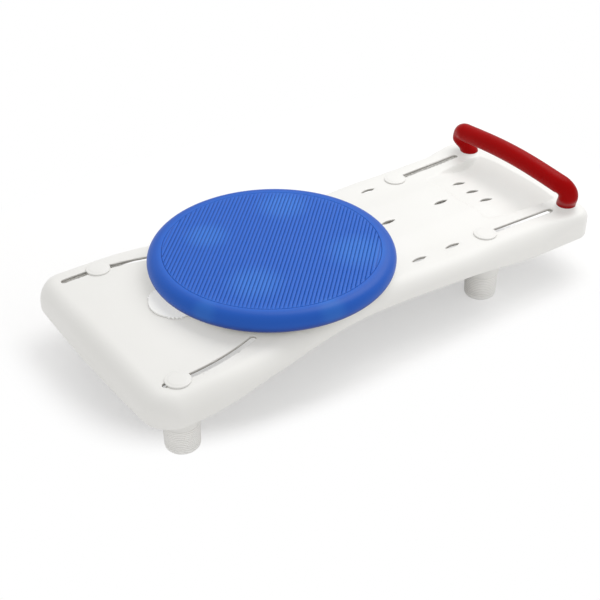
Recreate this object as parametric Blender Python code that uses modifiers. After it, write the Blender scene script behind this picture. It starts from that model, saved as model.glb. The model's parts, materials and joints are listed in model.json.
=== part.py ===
"""Bath board with a swivel seat disc, a grab handle and four clamp feet.

The board lies along X, with its handle at the +X end, and stands on its feet at z = 0.
Every length is in metres, written as millimetres times MM.
"""

import math

import bmesh
import bpy
from mathutils import Vector
from mathutils.geometry import delaunay_2d_cdt

MM = 0.001
CLEARANCE = 0.3 * MM

# Board outline, seen from above
BOARD_LENGTH = 740 * MM
WIDE_END_X = -BOARD_LENGTH / 2
HANDLE_END_X = BOARD_LENGTH / 2
WIDE_HALF_WIDTH = 172.5 * MM
WAIST_INSET = 40.7 * MM
WAIST_HALF_WIDTH = WIDE_HALF_WIDTH - WAIST_INSET
SHOULDER_INSET = 33.3 * MM
SHOULDER_HALF_WIDTH = WIDE_HALF_WIDTH - SHOULDER_INSET
HANDLE_END_FLARE = 3.2 * MM
WAIST_START_X = WIDE_END_X + 350 * MM
WAIST_RUN = 265 * MM
SHOULDER_START_X = HANDLE_END_X - 380 * MM
SHOULDER_RUN = 170 * MM
WIDE_CORNER_RADIUS = 38 * MM
HANDLE_CORNER_RADIUS = 29 * MM
WIDE_END_BOW = 5 * MM
BOW_RUN = 60 * MM

# Board section
DECK_TOP = 102 * MM
LANE_DROP = 4.7 * MM
DECK_LANE = DECK_TOP - LANE_DROP
CROWN_FLAT_HALF_WIDTH = 36 * MM
LANE_HALF_WIDTH = 17.5 * MM
WALL = 3.5 * MM
ROLL_WIDTH = 25 * MM
ROLL_HEIGHT = 29 * MM
HANDLE_ROLL_WIDTH = 9.5 * MM
HANDLE_ROLL_HEIGHT = 13 * MM
HANDLE_ROLL_RUN = 71 * MM
SKIRT_DEPTH = 42.6 * MM
SKIRT_BOTTOM = DECK_TOP - SKIRT_DEPTH
SKIRT_MIN_WALL = 6 * MM
ARCH_RISE = 11.2 * MM
ARCH_WIDE_START = WIDE_END_X + 50 * MM
ARCH_WIDE_END = WIDE_END_X + 170 * MM
ARCH_HANDLE_START = HANDLE_END_X - 250 * MM
ARCH_HANDLE_END = HANDLE_END_X - 110 * MM
EDGE_TUCK = 1.2 * MM
SIDE_FACET = 48 * MM
TOP_FACET = 47 * MM

# Foot slots
LEG_RADIUS = 24 * MM
LEG_CORRIDOR = LEG_RADIUS + 2.5 * MM
SLOT_WIDTH = 8.6 * MM
ARC_SLOT_RADIUS = 323.6 * MM
ARC_SLOT_CENTRE_X = WIDE_END_X + 57.9 * MM
ARC_SLOT_EDGE_DISTANCE = 38.4 * MM
ARC_SLOT_OFFSET = WIDE_HALF_WIDTH - ARC_SLOT_EDGE_DISTANCE
ARC_SLOT_OUTER_X = WIDE_END_X + 32.7 * MM
ARC_SLOT_INNER_X = WIDE_END_X + 174 * MM
STRAIGHT_SLOT_START_X = HANDLE_END_X - 189 * MM
STRAIGHT_SLOT_END_X = HANDLE_END_X - 50.3 * MM
STRAIGHT_SLOT_EDGE_DISTANCE = 42 * MM
STRAIGHT_SLOT_OFFSET = SHOULDER_HALF_WIDTH - STRAIGHT_SLOT_EDGE_DISTANCE
STRAIGHT_SLOT_FLARE = 0.0384
LEG_LIMIT_X = HANDLE_END_X - 65 * MM

# Ribs under the board
RIB_THICKNESS = 2.5 * MM
RIB_DEPTH = 23 * MM
RIB_BOTTOM = DECK_TOP - RIB_DEPTH
INNER_RIB_OFFSET = 18 * MM
OUTER_RIB_SETBACK = 8.7 * MM
OUTER_RIB_OFFSET = STRAIGHT_SLOT_OFFSET - LEG_CORRIDOR - OUTER_RIB_SETBACK
WIDE_RIB_STATIONS = tuple(WIDE_END_X + run * MM for run in (34, 94, 158, 220, 330))
HANDLE_RIB_STATIONS = tuple(
    HANDLE_END_X - run * MM for run in (358, 312, 251, 202, 146, 90, 34)
)

# Drain holes, pointed at both ends
DRAIN_LENGTH = 25 * MM
DRAIN_WIDTH = 6.8 * MM
SIDE_DRAIN_STATIONS = (HANDLE_END_X - 291 * MM, HANDLE_END_X - 232 * MM)
SIDE_DRAIN_INSET = 3 * MM
CENTRE_DRAIN_STATIONS = (HANDLE_END_X - 269 * MM, HANDLE_END_X - 172.3 * MM)
TRAY_DRAIN_STATION = HANDLE_END_X - 111 * MM
TRAY_DRAIN_PITCH = 29.6 * MM

# Soap tray, scooped into the deck before the handle
TRAY_FRONT_X = HANDLE_END_X - 146 * MM
TRAY_END_X = HANDLE_END_X - 23 * MM
TRAY_FRONT_MARGIN = 23.2 * MM
TRAY_END_MARGIN = 13.2 * MM
TRAY_FRONT_HALF_WIDTH = STRAIGHT_SLOT_OFFSET - TRAY_FRONT_MARGIN
TRAY_END_HALF_WIDTH = STRAIGHT_SLOT_OFFSET - TRAY_END_MARGIN
TRAY_CORNER_RADIUS = 15 * MM
TRAY_STEP = 1.3 * MM
TRAY_DEPTH = 12.5 * MM
TRAY_SLOPE_START_X = TRAY_FRONT_X + 22 * MM
TRAY_DEEPEST_X = TRAY_END_X - 33 * MM

# Handle
POST_X = HANDLE_END_X - 24 * MM
POST_EDGE_DISTANCE = 35.2 * MM
POST_Y = SHOULDER_HALF_WIDTH - POST_EDGE_DISTANCE
POST_RADIUS = 14 * MM
POST_FOOT = DECK_LANE + CLEARANCE
GRIP_RADIUS = 13.8 * MM
GRIP_RISE = 37 * MM
GRIP_HEIGHT = DECK_TOP + GRIP_RISE
GRIP_ARCH = 5.5 * MM
HANDLE_LEAN = 14 * MM
HANDLE_BULGE = 9.5 * MM
ELBOW_RADIUS = 16 * MM
HANDLE_SCREW_RADIUS = 2.5 * MM
HANDLE_SCREW_HEAD_RADIUS = 5 * MM
HANDLE_SCREW_HEAD_HEIGHT = 2.6 * MM
HANDLE_SCREW_DEPTH = 12 * MM
POST_BOSS_RADIUS = 11 * MM
POST_BOSS_DEPTH = 24 * MM
POST_BOSS_BOTTOM = DECK_TOP - POST_BOSS_DEPTH

# Bearing of the seat: track on the deck, glide ring, foot of the core
DISC_X = WIDE_END_X + 275 * MM
TRACK_INNER_RADIUS = 57 * MM
TRACK_WIDTH = 18 * MM
TRACK_OUTER_RADIUS = TRACK_INNER_RADIUS + TRACK_WIDTH
TRACK_HEIGHT = 0.6 * MM
TRACK_TOP = DECK_TOP + TRACK_HEIGHT
GLIDE_MARGIN = 3 * MM
GLIDE_INNER_RADIUS = TRACK_INNER_RADIUS + GLIDE_MARGIN
GLIDE_OUTER_RADIUS = TRACK_OUTER_RADIUS - GLIDE_MARGIN
GLIDE_THICKNESS = 2.3 * MM
CORE_FOOT = TRACK_TOP + GLIDE_THICKNESS + 2 * CLEARANCE

# Seat cover and core
DISC_RADIUS = 164 * MM
DISC_RIM_RADIUS = 13.7 * MM
DISC_RIM_BOTTOM = CORE_FOOT - CLEARANCE
DISC_RIM_TOP = DISC_RIM_BOTTOM + 2 * DISC_RIM_RADIUS
DISC_CROWN = 0.8 * MM
RIM_WIDTH = 20.5 * MM
RIBBED_RADIUS = DISC_RADIUS - RIM_WIDTH
FIELD_STEP = 0.5 * MM
GROOVE_PITCH = 5 * MM
GROOVE_WIDTH = 1.5 * MM
GROOVE_DEPTH = 1.2 * MM
GROOVE_END_MARGIN = 1.5 * MM
GROOVE_ANGLE_DEGREES = 45.4
PAD_LIP = 0.8 * MM
CORE_RADIUS = DISC_RADIUS - DISC_RIM_RADIUS - PAD_LIP
CORE_HEIGHT = 14.5 * MM
CORE_TOP = CORE_FOOT + CORE_HEIGHT
CORE_PLATE = 3 * MM
CORE_WALL = 3 * MM
CORE_RIB_COUNT = 8
CORE_RIB_HEIGHT = 7.5 * MM
CORE_RIB_THICKNESS = 2 * MM
HUB_RADIUS = 18 * MM
HUB_SHELF = 7 * MM

# Pivot
PIVOT_RADIUS = 4 * MM
PIVOT_HEAD_RADIUS = 8.5 * MM
PIVOT_HEAD_HEIGHT = 5 * MM
BUSH_WALL = 3 * MM
BUSH_FLANGE_RADIUS = 14 * MM
PIVOT_BOSS_DEPTH = 14 * MM
PIVOT_BOSS_BOTTOM = DECK_TOP - PIVOT_BOSS_DEPTH
PIVOT_WASHER_RADIUS = 15 * MM
PIVOT_WASHER_THICKNESS = 2 * MM
PIVOT_NUT_RADIUS = 7.5 * MM
PIVOT_NUT_HEIGHT = 7 * MM

# Index ring: a flange with a notched lip below it
STOP_COUNT = 4
INDEX_SETBACK = 33.2 * MM
INDEX_OUTER_RADIUS = CORE_RADIUS - INDEX_SETBACK
INDEX_WIDTH = 15.3 * MM
INDEX_INNER_RADIUS = INDEX_OUTER_RADIUS - INDEX_WIDTH
INDEX_FLANGE_HEIGHT = 10.7 * MM
INDEX_TOP = CORE_TOP - CORE_PLATE - CLEARANCE
INDEX_FLANGE_BOTTOM = INDEX_TOP - INDEX_FLANGE_HEIGHT
INDEX_RUNNING_GAP = 0.9 * MM
INDEX_LIP_BOTTOM = DECK_TOP + INDEX_RUNNING_GAP
INDEX_LIP_WEB = 1 * MM
NOTCH_WIDTH = 8.6 * MM
NOTCH_DEPTH = 7.4 * MM
NOTCH_HEIGHT = 5 * MM
INDEX_LIP_RADIUS = INDEX_OUTER_RADIUS - NOTCH_DEPTH - INDEX_LIP_WEB
SMALL_SCREW_RADIUS = 1.6 * MM
SMALL_SCREW_HEAD_RADIUS = 3 * MM
SMALL_SCREW_HEAD_HEIGHT = 0.5 * MM

# Lock tongue and its rails
LOCK_TRAVEL = 8 * MM
TONGUE_REACH = 17 * MM
TONGUE_TIP_RADIUS = DISC_RADIUS + TONGUE_REACH
TONGUE_WIDTH = 70 * MM
TONGUE_END_RADIUS = 37 * MM
TONGUE_NECK_WIDTH = 36 * MM
TONGUE_THICKNESS = 2.4 * MM
TONGUE_TOP = DISC_RIM_BOTTOM - CLEARANCE - 0.1 * MM
TOOTH_RUNNING_GAP = 1.9 * MM
TOOTH_SIDE_GAP = 0.6 * MM
SHOULDER_GAP = 1 * MM
FINGER_TEETH = 4
FINGER_TOOTH_PITCH = 5 * MM
FINGER_TOOTH_HEIGHT = 2.2 * MM
RAIL_START_RADIUS = INDEX_OUTER_RADIUS + 4 * MM
RAIL_WIDTH = 9 * MM
RAIL_LENGTH = 20 * MM

# Feet: where each stands along the board, and on which side
FOOT_STATIONS = {
    "near_wide": (WIDE_END_X + 53 * MM, -1),
    "far_wide": (WIDE_END_X + 86.1 * MM, 1),
    "near_handle": (HANDLE_END_X - 175 * MM, -1),
    "far_handle": (HANDLE_END_X - 177.7 * MM, 1),
}
BOLT_HEAD_RADIUS = 11 * MM
BOLT_HEAD_HEIGHT = 1.5 * MM
BOLT_RADIUS = 4 * MM
BOLT_LENGTH = 52 * MM
CAP_RADIUS = 16.1 * MM
CAP_HEIGHT = 3 * MM
CAP_EDGE = 1.1 * MM
WASHER_RADIUS = 13 * MM
WASHER_THICKNESS = 2 * MM
LEG_TOP = DECK_LANE - WALL - WASHER_THICKNESS - 2 * CLEARANCE
LEG_TOP_RADIUS = 13.3 * MM
LEG_CONE_HEIGHT = 22 * MM
LEG_FOOT_RADIUS = 22.9 * MM
LEG_WALL = 4 * MM
LEG_HEAD_HEIGHT = 15 * MM
LEG_NUT_RADIUS = 7.7 * MM
LEG_NUT_HEIGHT = 8 * MM
SLEEVE_HEIGHT = 37 * MM
SLEEVE_WALL = 3 * MM
SLEEVE_RIB_COUNT = 5
SLEEVE_RIB_DEPTH = 0.9 * MM
SLEEVE_SOLE = 3 * MM
SLEEVE_ROUNDING = 5 * MM

# Sides of round pieces
FINE_SIDE_COUNT = 56
WIDE_SIDE_COUNT = 32
MEDIUM_SIDE_COUNT = 20
SMALL_SIDE_COUNT = 14
SCREW_SIDE_COUNT = 10
GRIP_SIDE_COUNT = 16
CUT_REACH = 30 * MM

# Colours are linear values
MATERIALS = {
    "white_polypropylene": ((0.86, 0.86, 0.84, 1.0), 0.42, 0.0),
    "blue_foam": ((0.02, 0.115, 0.62, 1.0), 0.5, 0.0),
    "red_plastic": ((0.55, 0.004, 0.006, 1.0), 0.38, 0.0),
    "grey_white_rubber": ((0.78, 0.78, 0.76, 1.0), 0.6, 0.0),
    "acetal": ((0.9, 0.9, 0.88, 1.0), 0.3, 0.0),
    "stainless_steel": ((0.62, 0.62, 0.63, 1.0), 0.3, 1.0),
}


def clear_scene():
    """Remove every object of the open scene."""
    for item in list(bpy.data.objects):
        bpy.data.objects.remove(item, do_unlink=True)


def make_collection(name):
    """Return a new collection that is linked to the scene."""
    collection = bpy.data.collections.new(name)
    bpy.context.scene.collection.children.link(collection)
    return collection


clear_scene()
PARTS = make_collection("bath_board")
CUTTERS = make_collection("cutters")
PENDING_BOOLEANS = []


def make_material(name, finish):
    """Return a Principled material of one finish, for one piece."""
    color, roughness, metallic = MATERIALS[finish]
    material = bpy.data.materials.new(name)
    material.use_nodes = True
    shader = material.node_tree.nodes["Principled BSDF"]
    shader.inputs["Base Color"].default_value = color
    shader.inputs["Roughness"].default_value = roughness
    shader.inputs["Metallic"].default_value = metallic
    material.diffuse_color = color
    return material


def add_part(name, mesh, finish, location=(0.0, 0.0, 0.0), turn=0.0, parent=None):
    """Add a mesh as a piece of the board."""
    item = bpy.data.objects.new(name, mesh)
    PARTS.objects.link(item)
    item.location = location
    item.rotation_euler = (0.0, 0.0, turn)
    item.parent = parent
    mesh.materials.clear()
    mesh.materials.append(make_material(name, finish))
    return item


def add_cutter(name, mesh, location=(0.0, 0.0, 0.0), turn=0.0, collection=None):
    """Add a mesh that only cuts or joins other pieces."""
    item = bpy.data.objects.new(name, mesh)
    (collection or CUTTERS).objects.link(item)
    item.location = location
    item.rotation_euler = (0.0, 0.0, turn)
    item.hide_render = True
    item.display_type = "WIRE"
    return item


def cutter_group(name):
    """Return a collection for cutters that work together."""
    group = bpy.data.collections.new(name)
    CUTTERS.children.link(group)
    return group


def boolean(item, tool, operation="DIFFERENCE"):
    """Note a cut of an object by, or its join to, another object or a collection."""
    PENDING_BOOLEANS.append((item, tool, operation))


def add_booleans():
    """Add the noted cuts and joins, in their order, once every mesh exists."""
    for item, tool, operation in PENDING_BOOLEANS:
        modifier = item.modifiers.new(operation.lower(), "BOOLEAN")
        modifier.operation = operation
        modifier.solver = "EXACT"
        if isinstance(tool, bpy.types.Collection):
            modifier.operand_type = "COLLECTION"
            modifier.collection = tool
        else:
            modifier.object = tool


def mesh_of(name, build):
    """Return a mesh that a bmesh function fills in."""
    shape = bmesh.new()
    build(shape)
    mesh = bpy.data.meshes.new(name)
    shape.to_mesh(mesh)
    shape.free()
    return mesh


def smooth(mesh, degrees=35.0):
    """Shade a mesh smooth, with sharp edges where its faces turn by more than an angle."""
    mesh.shade_smooth()
    mesh.set_sharp_from_angle(angle=math.radians(degrees))


def ease(value):
    """Blend from 0 to 1 with level ends, as half a cosine wave."""
    clamped = min(max(value, 0.0), 1.0)
    return 0.5 - 0.5 * math.cos(math.pi * clamped)


def turned_mesh(name, profile, segments):
    """Return a turned mesh from a closed profile of (radius, z) points.

    The profile runs down the outer side and back up the inner side. A profile whose
    first and last points lie on the axis is left open there.
    """
    on_axis = profile[0][0] == 0.0 and profile[-1][0] == 0.0

    def build(shape):
        points = [shape.verts.new((radius, 0.0, z)) for radius, z in profile]
        for first, second in zip(points, points[1:]):
            shape.edges.new((first, second))
        if not on_axis:
            shape.edges.new((points[-1], points[0]))

    guide = bpy.data.objects.new(name + "_profile", mesh_of(name + "_profile", build))
    CUTTERS.objects.link(guide)
    screw = guide.modifiers.new("turn", "SCREW")
    screw.steps = segments
    screw.render_steps = segments
    screw.use_merge_vertices = True
    screw.merge_threshold = 0.00001
    return applied_mesh(guide, name)


def applied_mesh(item, name):
    """Return an object's evaluated mesh with its doubles merged, and remove the object."""
    graph = bpy.context.evaluated_depsgraph_get()
    mesh = bpy.data.meshes.new_from_object(item.evaluated_get(graph))
    mesh.name = name
    shape = bmesh.new()
    shape.from_mesh(mesh)
    bmesh.ops.remove_doubles(shape, verts=shape.verts, dist=0.00001)
    bmesh.ops.recalc_face_normals(shape, faces=shape.faces)
    shape.to_mesh(mesh)
    shape.free()
    bpy.data.objects.remove(item, do_unlink=True)
    smooth(mesh)
    return mesh


def plate_mesh(name, outline, low, high):
    """Return a flat plate of an outline of (x, y) points, between two heights."""

    def build(shape):
        bottom = shape.faces.new([shape.verts.new((x, y, low)) for x, y in outline])
        raised = bmesh.ops.extrude_face_region(shape, geom=[bottom], use_keep_orig=True)
        upper = [item for item in raised["geom"] if isinstance(item, bmesh.types.BMVert)]
        bmesh.ops.translate(shape, vec=(0.0, 0.0, high - low), verts=upper)
        bmesh.ops.recalc_face_normals(shape, faces=shape.faces)

    mesh = mesh_of(name, build)
    smooth(mesh)
    return mesh


def box_mesh(name, low, high):
    """Return a box between two corners."""

    def build(shape):
        bmesh.ops.create_cube(shape, size=1.0)
        size = [b - a for a, b in zip(low, high)]
        middle = [(a + b) / 2 for a, b in zip(low, high)]
        bmesh.ops.scale(shape, vec=size, verts=shape.verts)
        bmesh.ops.translate(shape, vec=middle, verts=shape.verts)

    return mesh_of(name, build)


def rod_mesh(name, radius, low, high, segments=SMALL_SIDE_COUNT):
    """Return an upright cylinder, or a prism where it has few sides."""

    def build(shape):
        bmesh.ops.create_cone(
            shape,
            cap_ends=True,
            segments=segments,
            radius1=radius,
            radius2=radius,
            depth=high - low,
        )
        bmesh.ops.translate(shape, vec=(0.0, 0.0, (low + high) / 2), verts=shape.verts)

    mesh = mesh_of(name, build)
    smooth(mesh)
    return mesh


# Board shape as functions of the place on it


def half_width(x):
    """Half the width of the skirt at a station."""
    to_wide = ease((WAIST_START_X - x) / WAIST_RUN)
    to_shoulder = ease((x - SHOULDER_START_X) / SHOULDER_RUN)
    shoulder_end = SHOULDER_START_X + SHOULDER_RUN
    flare_run = HANDLE_END_X - HANDLE_CORNER_RADIUS - shoulder_end
    flare = min(max((x - shoulder_end) / flare_run, 0.0), 1.0)
    return (
        WAIST_HALF_WIDTH
        + (WIDE_HALF_WIDTH - WAIST_HALF_WIDTH) * to_wide
        + (SHOULDER_HALF_WIDTH - WAIST_HALF_WIDTH) * to_shoulder
        + HANDLE_END_FLARE * flare
    )


def skirt_bottom(x):
    """Height of the skirt's lower edge, arched between the two ends."""
    wide_side = ease((x - ARCH_WIDE_START) / (ARCH_WIDE_END - ARCH_WIDE_START))
    handle_side = ease((ARCH_HANDLE_END - x) / (ARCH_HANDLE_END - ARCH_HANDLE_START))
    return SKIRT_BOTTOM + ARCH_RISE * min(wide_side, handle_side)


def arc_slot_y(x):
    """Distance of the arc slot's centre line from the board's centre line."""
    run = x - ARC_SLOT_CENTRE_X
    return ARC_SLOT_OFFSET - ARC_SLOT_RADIUS + math.sqrt(ARC_SLOT_RADIUS**2 - run**2)


def straight_slot_y(x):
    """Distance of the straight slot's centre line from the board's centre line."""
    return STRAIGHT_SLOT_OFFSET + STRAIGHT_SLOT_FLARE * (x - STRAIGHT_SLOT_START_X)


def lane_y(x):
    """Centre of the low lane that the slots lie in, along the whole board."""
    if x <= ARC_SLOT_INNER_X:
        return arc_slot_y(max(x, ARC_SLOT_OUTER_X))
    if x >= STRAIGHT_SLOT_START_X:
        return straight_slot_y(x)
    share = ease((x - ARC_SLOT_INNER_X) / (STRAIGHT_SLOT_START_X - ARC_SLOT_INNER_X))
    start = arc_slot_y(ARC_SLOT_INNER_X)
    return start + (straight_slot_y(STRAIGHT_SLOT_START_X) - start) * share


def deck_height(x, y):
    """Height of the deck's top: level in the middle, easing down to the lanes."""
    lane_edge = lane_y(x) - LANE_HALF_WIDTH
    share = (abs(y) - CROWN_FLAT_HALF_WIDTH) / (lane_edge - CROWN_FLAT_HALF_WIDTH)
    return DECK_TOP - LANE_DROP * ease(share)


def handle_roll_share(x):
    """Share of the way from the long sides' broad roll to the handle end's tight one."""
    end = HANDLE_END_X - HANDLE_CORNER_RADIUS
    return ease(1.0 - (end - x) / HANDLE_ROLL_RUN)


def roll_width(x):
    """Width of the rolled edge at a station."""
    return ROLL_WIDTH + (HANDLE_ROLL_WIDTH - ROLL_WIDTH) * handle_roll_share(x)


def roll_height(x):
    """Height of the rolled edge, which stops short of the skirt's lower edge."""
    height = ROLL_HEIGHT + (HANDLE_ROLL_HEIGHT - ROLL_HEIGHT) * handle_roll_share(x)
    return min(height, DECK_LANE - skirt_bottom(x) - SKIRT_MIN_WALL)


def bowed(x, y):
    """Place of a point after the wide end is bowed outwards at its middle."""
    near_end = ease((WIDE_END_X + BOW_RUN - x) / BOW_RUN)
    return x + WIDE_END_BOW * near_end * (y / WIDE_HALF_WIDTH) ** 2


def board_outline():
    """Outline of the skirt as points with their outward directions, before the bow.

    It runs anticlockwise from the middle of the handle end.
    """
    corner_steps = 5
    end_steps = 4
    handle_x = HANDLE_END_X - HANDLE_CORNER_RADIUS
    wide_x = WIDE_END_X + WIDE_CORNER_RADIUS
    handle_y = half_width(handle_x) - HANDLE_CORNER_RADIUS
    wide_y = half_width(wide_x) - WIDE_CORNER_RADIUS
    points = []
    for step in range(end_steps):
        points.append((HANDLE_END_X, handle_y * step / end_steps, 1.0, 0.0))
    for step in range(corner_steps + 1):
        turn = math.radians(90 * step / corner_steps)
        reach = HANDLE_CORNER_RADIUS
        place = (handle_x + reach * math.cos(turn), handle_y + reach * math.sin(turn))
        points.append((*place, math.cos(turn), math.sin(turn)))
    side_count = round((handle_x - wide_x) / SIDE_FACET)
    for step in range(1, side_count):
        x = handle_x + (wide_x - handle_x) * step / side_count
        probe = 1 * MM
        slope = (half_width(x + probe) - half_width(x - probe)) / (2 * probe)
        scale = math.hypot(1.0, slope)
        points.append((x, half_width(x), -slope / scale, 1.0 / scale))
    for step in range(corner_steps + 1):
        turn = math.radians(90 + 90 * step / corner_steps)
        reach = WIDE_CORNER_RADIUS
        place = (wide_x + reach * math.cos(turn), wide_y + reach * math.sin(turn))
        points.append((*place, math.cos(turn), math.sin(turn)))
    for step in range(1, end_steps):
        points.append((WIDE_END_X, wide_y * (1 - step / end_steps), -1.0, 0.0))
    points.append((WIDE_END_X, 0.0, -1.0, 0.0))
    mirrored = [(x, -y, across, -along) for x, y, across, along in points[1:-1]]
    return points + mirrored[::-1]


def board_rings():
    """Rings of points from the top of the rolled edge down to the skirt's lower edge."""
    outline = board_outline()
    roll_steps = 4
    rings = []
    for step in range(roll_steps + 1):
        turn = math.radians(90 * step / roll_steps)
        ring = []
        for x, y, nx, ny in outline:
            width = roll_width(x)
            inset = width * (1 - math.sin(turn))
            top = deck_height(x - nx * width, y - ny * width)
            drop = roll_height(x) * (1 - math.cos(turn))
            ring.append((x - nx * inset, y - ny * inset, top - drop))
        rings.append(ring)
    for inset, rise in ((0.0, 2 * EDGE_TUCK), (EDGE_TUCK, 0.0)):
        rings.append(
            [
                (x - nx * inset, y - ny * inset, skirt_bottom(x) + rise)
                for x, y, nx, ny in outline
            ]
        )
    return rings


def inside(polygon, x, y, margin):
    """Tell whether a point lies inside a polygon, and further than a margin from it."""
    within = False
    for (ax, ay, _), (bx, by, _) in zip(polygon, polygon[1:] + polygon[:1]):
        if (ay > y) != (by > y) and x < (bx - ax) * (y - ay) / (by - ay) + ax:
            within = not within
        side = Vector((bx - ax, by - ay))
        share = min(max(Vector((x - ax, y - ay)).dot(side) / side.length_squared, 0.0), 1.0)
        if math.hypot(x - ax - side.x * share, y - ay - side.y * share) < margin:
            return False
    return within


def deck_points(boundary):
    """Points on the deck's top, in rows that follow the crown and the lanes."""
    count = int(BOARD_LENGTH / TOP_FACET)
    edge_margin = 6 * MM
    places = []
    for column in range(count + 1):
        x = WIDE_END_X + BOARD_LENGTH * column / count
        lane = lane_y(x)
        crown = lane - LANE_HALF_WIDTH - CROWN_FLAT_HALF_WIDTH
        rows = [CROWN_FLAT_HALF_WIDTH + crown * share for share in (0.0, 0.35, 0.65, 1.0)]
        rows += [lane + LANE_HALF_WIDTH]
        for y in [0.0] + rows + [-row for row in rows]:
            if inside(boundary, x, y, edge_margin):
                places.append((x, y))
    return places


def deck_surface_mesh():
    """Open outer surface of the board: crowned top, rolled edge and skirt."""
    rings = board_rings()
    count = len(rings[0])
    places = [(x, y) for x, y, _ in rings[0]] + deck_points(rings[0])
    flat = [Vector((x / MM, y / MM)) for x, y in places]
    found = delaunay_2d_cdt(flat, [], [list(range(count))], 1, 0.001)
    top_points, top_faces, sources = found[0], found[2], found[3]

    def build(shape):
        top = []
        for point in top_points:
            x, y = point.x * MM, point.y * MM
            top.append(shape.verts.new((bowed(x, y), y, deck_height(x, y))))
        for face in top_faces:
            shape.faces.new([top[index] for index in face])
        above = [None] * count
        for index, source in enumerate(sources):
            for original in source:
                if original < count:
                    above[original] = top[index]
        for ring in rings[1:]:
            below = [shape.verts.new((bowed(x, y), y, z)) for x, y, z in ring]
            for i in range(count):
                j = (i + 1) % count
                shape.faces.new((above[i], below[i], below[j], above[j]))
            above = below
        bmesh.ops.recalc_face_normals(shape, faces=shape.faces)
        if max(shape.faces, key=lambda face: face.calc_center_median().z).normal.z < 0:
            bmesh.ops.reverse_faces(shape, faces=shape.faces)

    mesh = mesh_of("deck", build)
    smooth(mesh, 50.0)
    return mesh


def slot_outline(path, half):
    """Outline of a round-ended slot of a half width about a path of (x, y) points."""
    cap_steps = 5
    sides = [[], []]
    for index, (x, y) in enumerate(path):
        before = path[max(index - 1, 0)]
        after = path[min(index + 1, len(path) - 1)]
        along = Vector((after[0] - before[0], after[1] - before[1])).normalized()
        sides[0].append((x - along.y * half, y + along.x * half))
        sides[1].append((x + along.y * half, y - along.x * half))
    outline = list(sides[1])
    for centre, other in ((path[-1], path[-2]), (path[0], path[1])):
        start = math.atan2(centre[1] - other[1], centre[0] - other[0]) - math.pi / 2
        for step in range(1, cap_steps):
            turn = start + math.pi * step / cap_steps
            outline.append((centre[0] + half * math.cos(turn), centre[1] + half * math.sin(turn)))
        if centre is path[-1]:
            outline += sides[0][::-1]
    return outline


def slot_path(kind, start_x, end_x, side):
    """Centre line of a foot slot on one side of the board."""
    steps = 8 if kind == "arc" else 1
    place = arc_slot_y if kind == "arc" else straight_slot_y
    stations = [start_x + (end_x - start_x) * step / steps for step in range(steps + 1)]
    return [(x, side * place(x)) for x in stations]


def drain_outline(x, y):
    """Outline of a drain hole: two arcs that meet in points."""
    arc_steps = 6
    half_length = DRAIN_LENGTH / 2
    half_height = DRAIN_WIDTH / 2
    radius = (half_length**2 + half_height**2) / (2 * half_height)
    reach = math.asin(half_length / radius)
    outline = []
    for flip in (1, -1):
        for step in range(arc_steps):
            turn = reach * (1 - 2 * step / arc_steps) * flip
            rise = (radius * math.cos(turn) - radius + half_height) * flip
            outline.append((x + radius * math.sin(turn), y + rise))
    return outline


def tray_depth(x):
    """Depth of the soap tray's floor below the deck at a station."""
    if x >= TRAY_DEEPEST_X:
        run = (x - TRAY_DEEPEST_X) / (TRAY_END_X - TRAY_DEEPEST_X)
        return TRAY_DEPTH * math.cos(math.pi / 2 * min(run, 1.0))
    run = (x - TRAY_SLOPE_START_X) / (TRAY_DEEPEST_X - TRAY_SLOPE_START_X)
    return TRAY_STEP + (TRAY_DEPTH - TRAY_STEP) * ease(run)


def tray_half_width(x):
    """Half width of the soap tray at a station, round at its front corners."""
    share = (x - TRAY_FRONT_X) / (TRAY_END_X - TRAY_FRONT_X)
    width = TRAY_FRONT_HALF_WIDTH + (TRAY_END_HALF_WIDTH - TRAY_FRONT_HALF_WIDTH) * share
    lead = TRAY_CORNER_RADIUS - (x - TRAY_FRONT_X)
    if lead > 0:
        width -= TRAY_CORNER_RADIUS - math.sqrt(TRAY_CORNER_RADIUS**2 - lead**2)
    return width


def tray_mesh(name, grow, floor_drop, top_drop):
    """Closed solid of the soap tray's hollow, or of the thicker block that holds it.

    The solid spans the tray's plan grown by a margin. Its floor lies below the tray's by
    floor_drop, and its top lies below the deck by top_drop.
    """
    corner = TRAY_CORNER_RADIUS
    slope = TRAY_DEEPEST_X - TRAY_SLOPE_START_X
    rise = TRAY_END_X - TRAY_DEEPEST_X
    stations = [TRAY_FRONT_X + corner * share for share in (0.0, 0.13, 0.4, 0.75)]
    stations += [TRAY_SLOPE_START_X + slope * step / 4 for step in range(5)]
    stations += [TRAY_DEEPEST_X + rise * step / 3 for step in range(1, 4)]
    across = (-1.0, -0.8, -0.5, -0.2, 0.2, 0.5, 0.8, 1.0)

    def build(shape):
        rows = []
        for index, x in enumerate(stations):
            place = x
            place -= grow if index == 0 else 0.0
            place += grow if index == len(stations) - 1 else 0.0
            row = []
            for share in across:
                y = share * (tray_half_width(x) + grow)
                low = deck_height(x, y) - tray_depth(x) - floor_drop
                high = deck_height(x, y) - top_drop
                row.append((shape.verts.new((place, y, low)), shape.verts.new((place, y, high))))
            rows.append(row)
        for first, second in zip(rows, rows[1:]):
            for a, b, c, d in zip(first, first[1:], second[1:], second):
                shape.faces.new((a[0], b[0], c[0], d[0]))
                shape.faces.new((a[1], d[1], c[1], b[1]))
            for end in (0, -1):
                quad = (first[end][0], second[end][0], second[end][1], first[end][1])
                shape.faces.new(quad)
        for row in (rows[0], rows[-1]):
            for a, b in zip(row, row[1:]):
                shape.faces.new((a[0], a[1], b[1], b[0]))
        bmesh.ops.triangulate(shape, faces=shape.faces)
        bmesh.ops.recalc_face_normals(shape, faces=shape.faces)

    return mesh_of(name, build)


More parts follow.
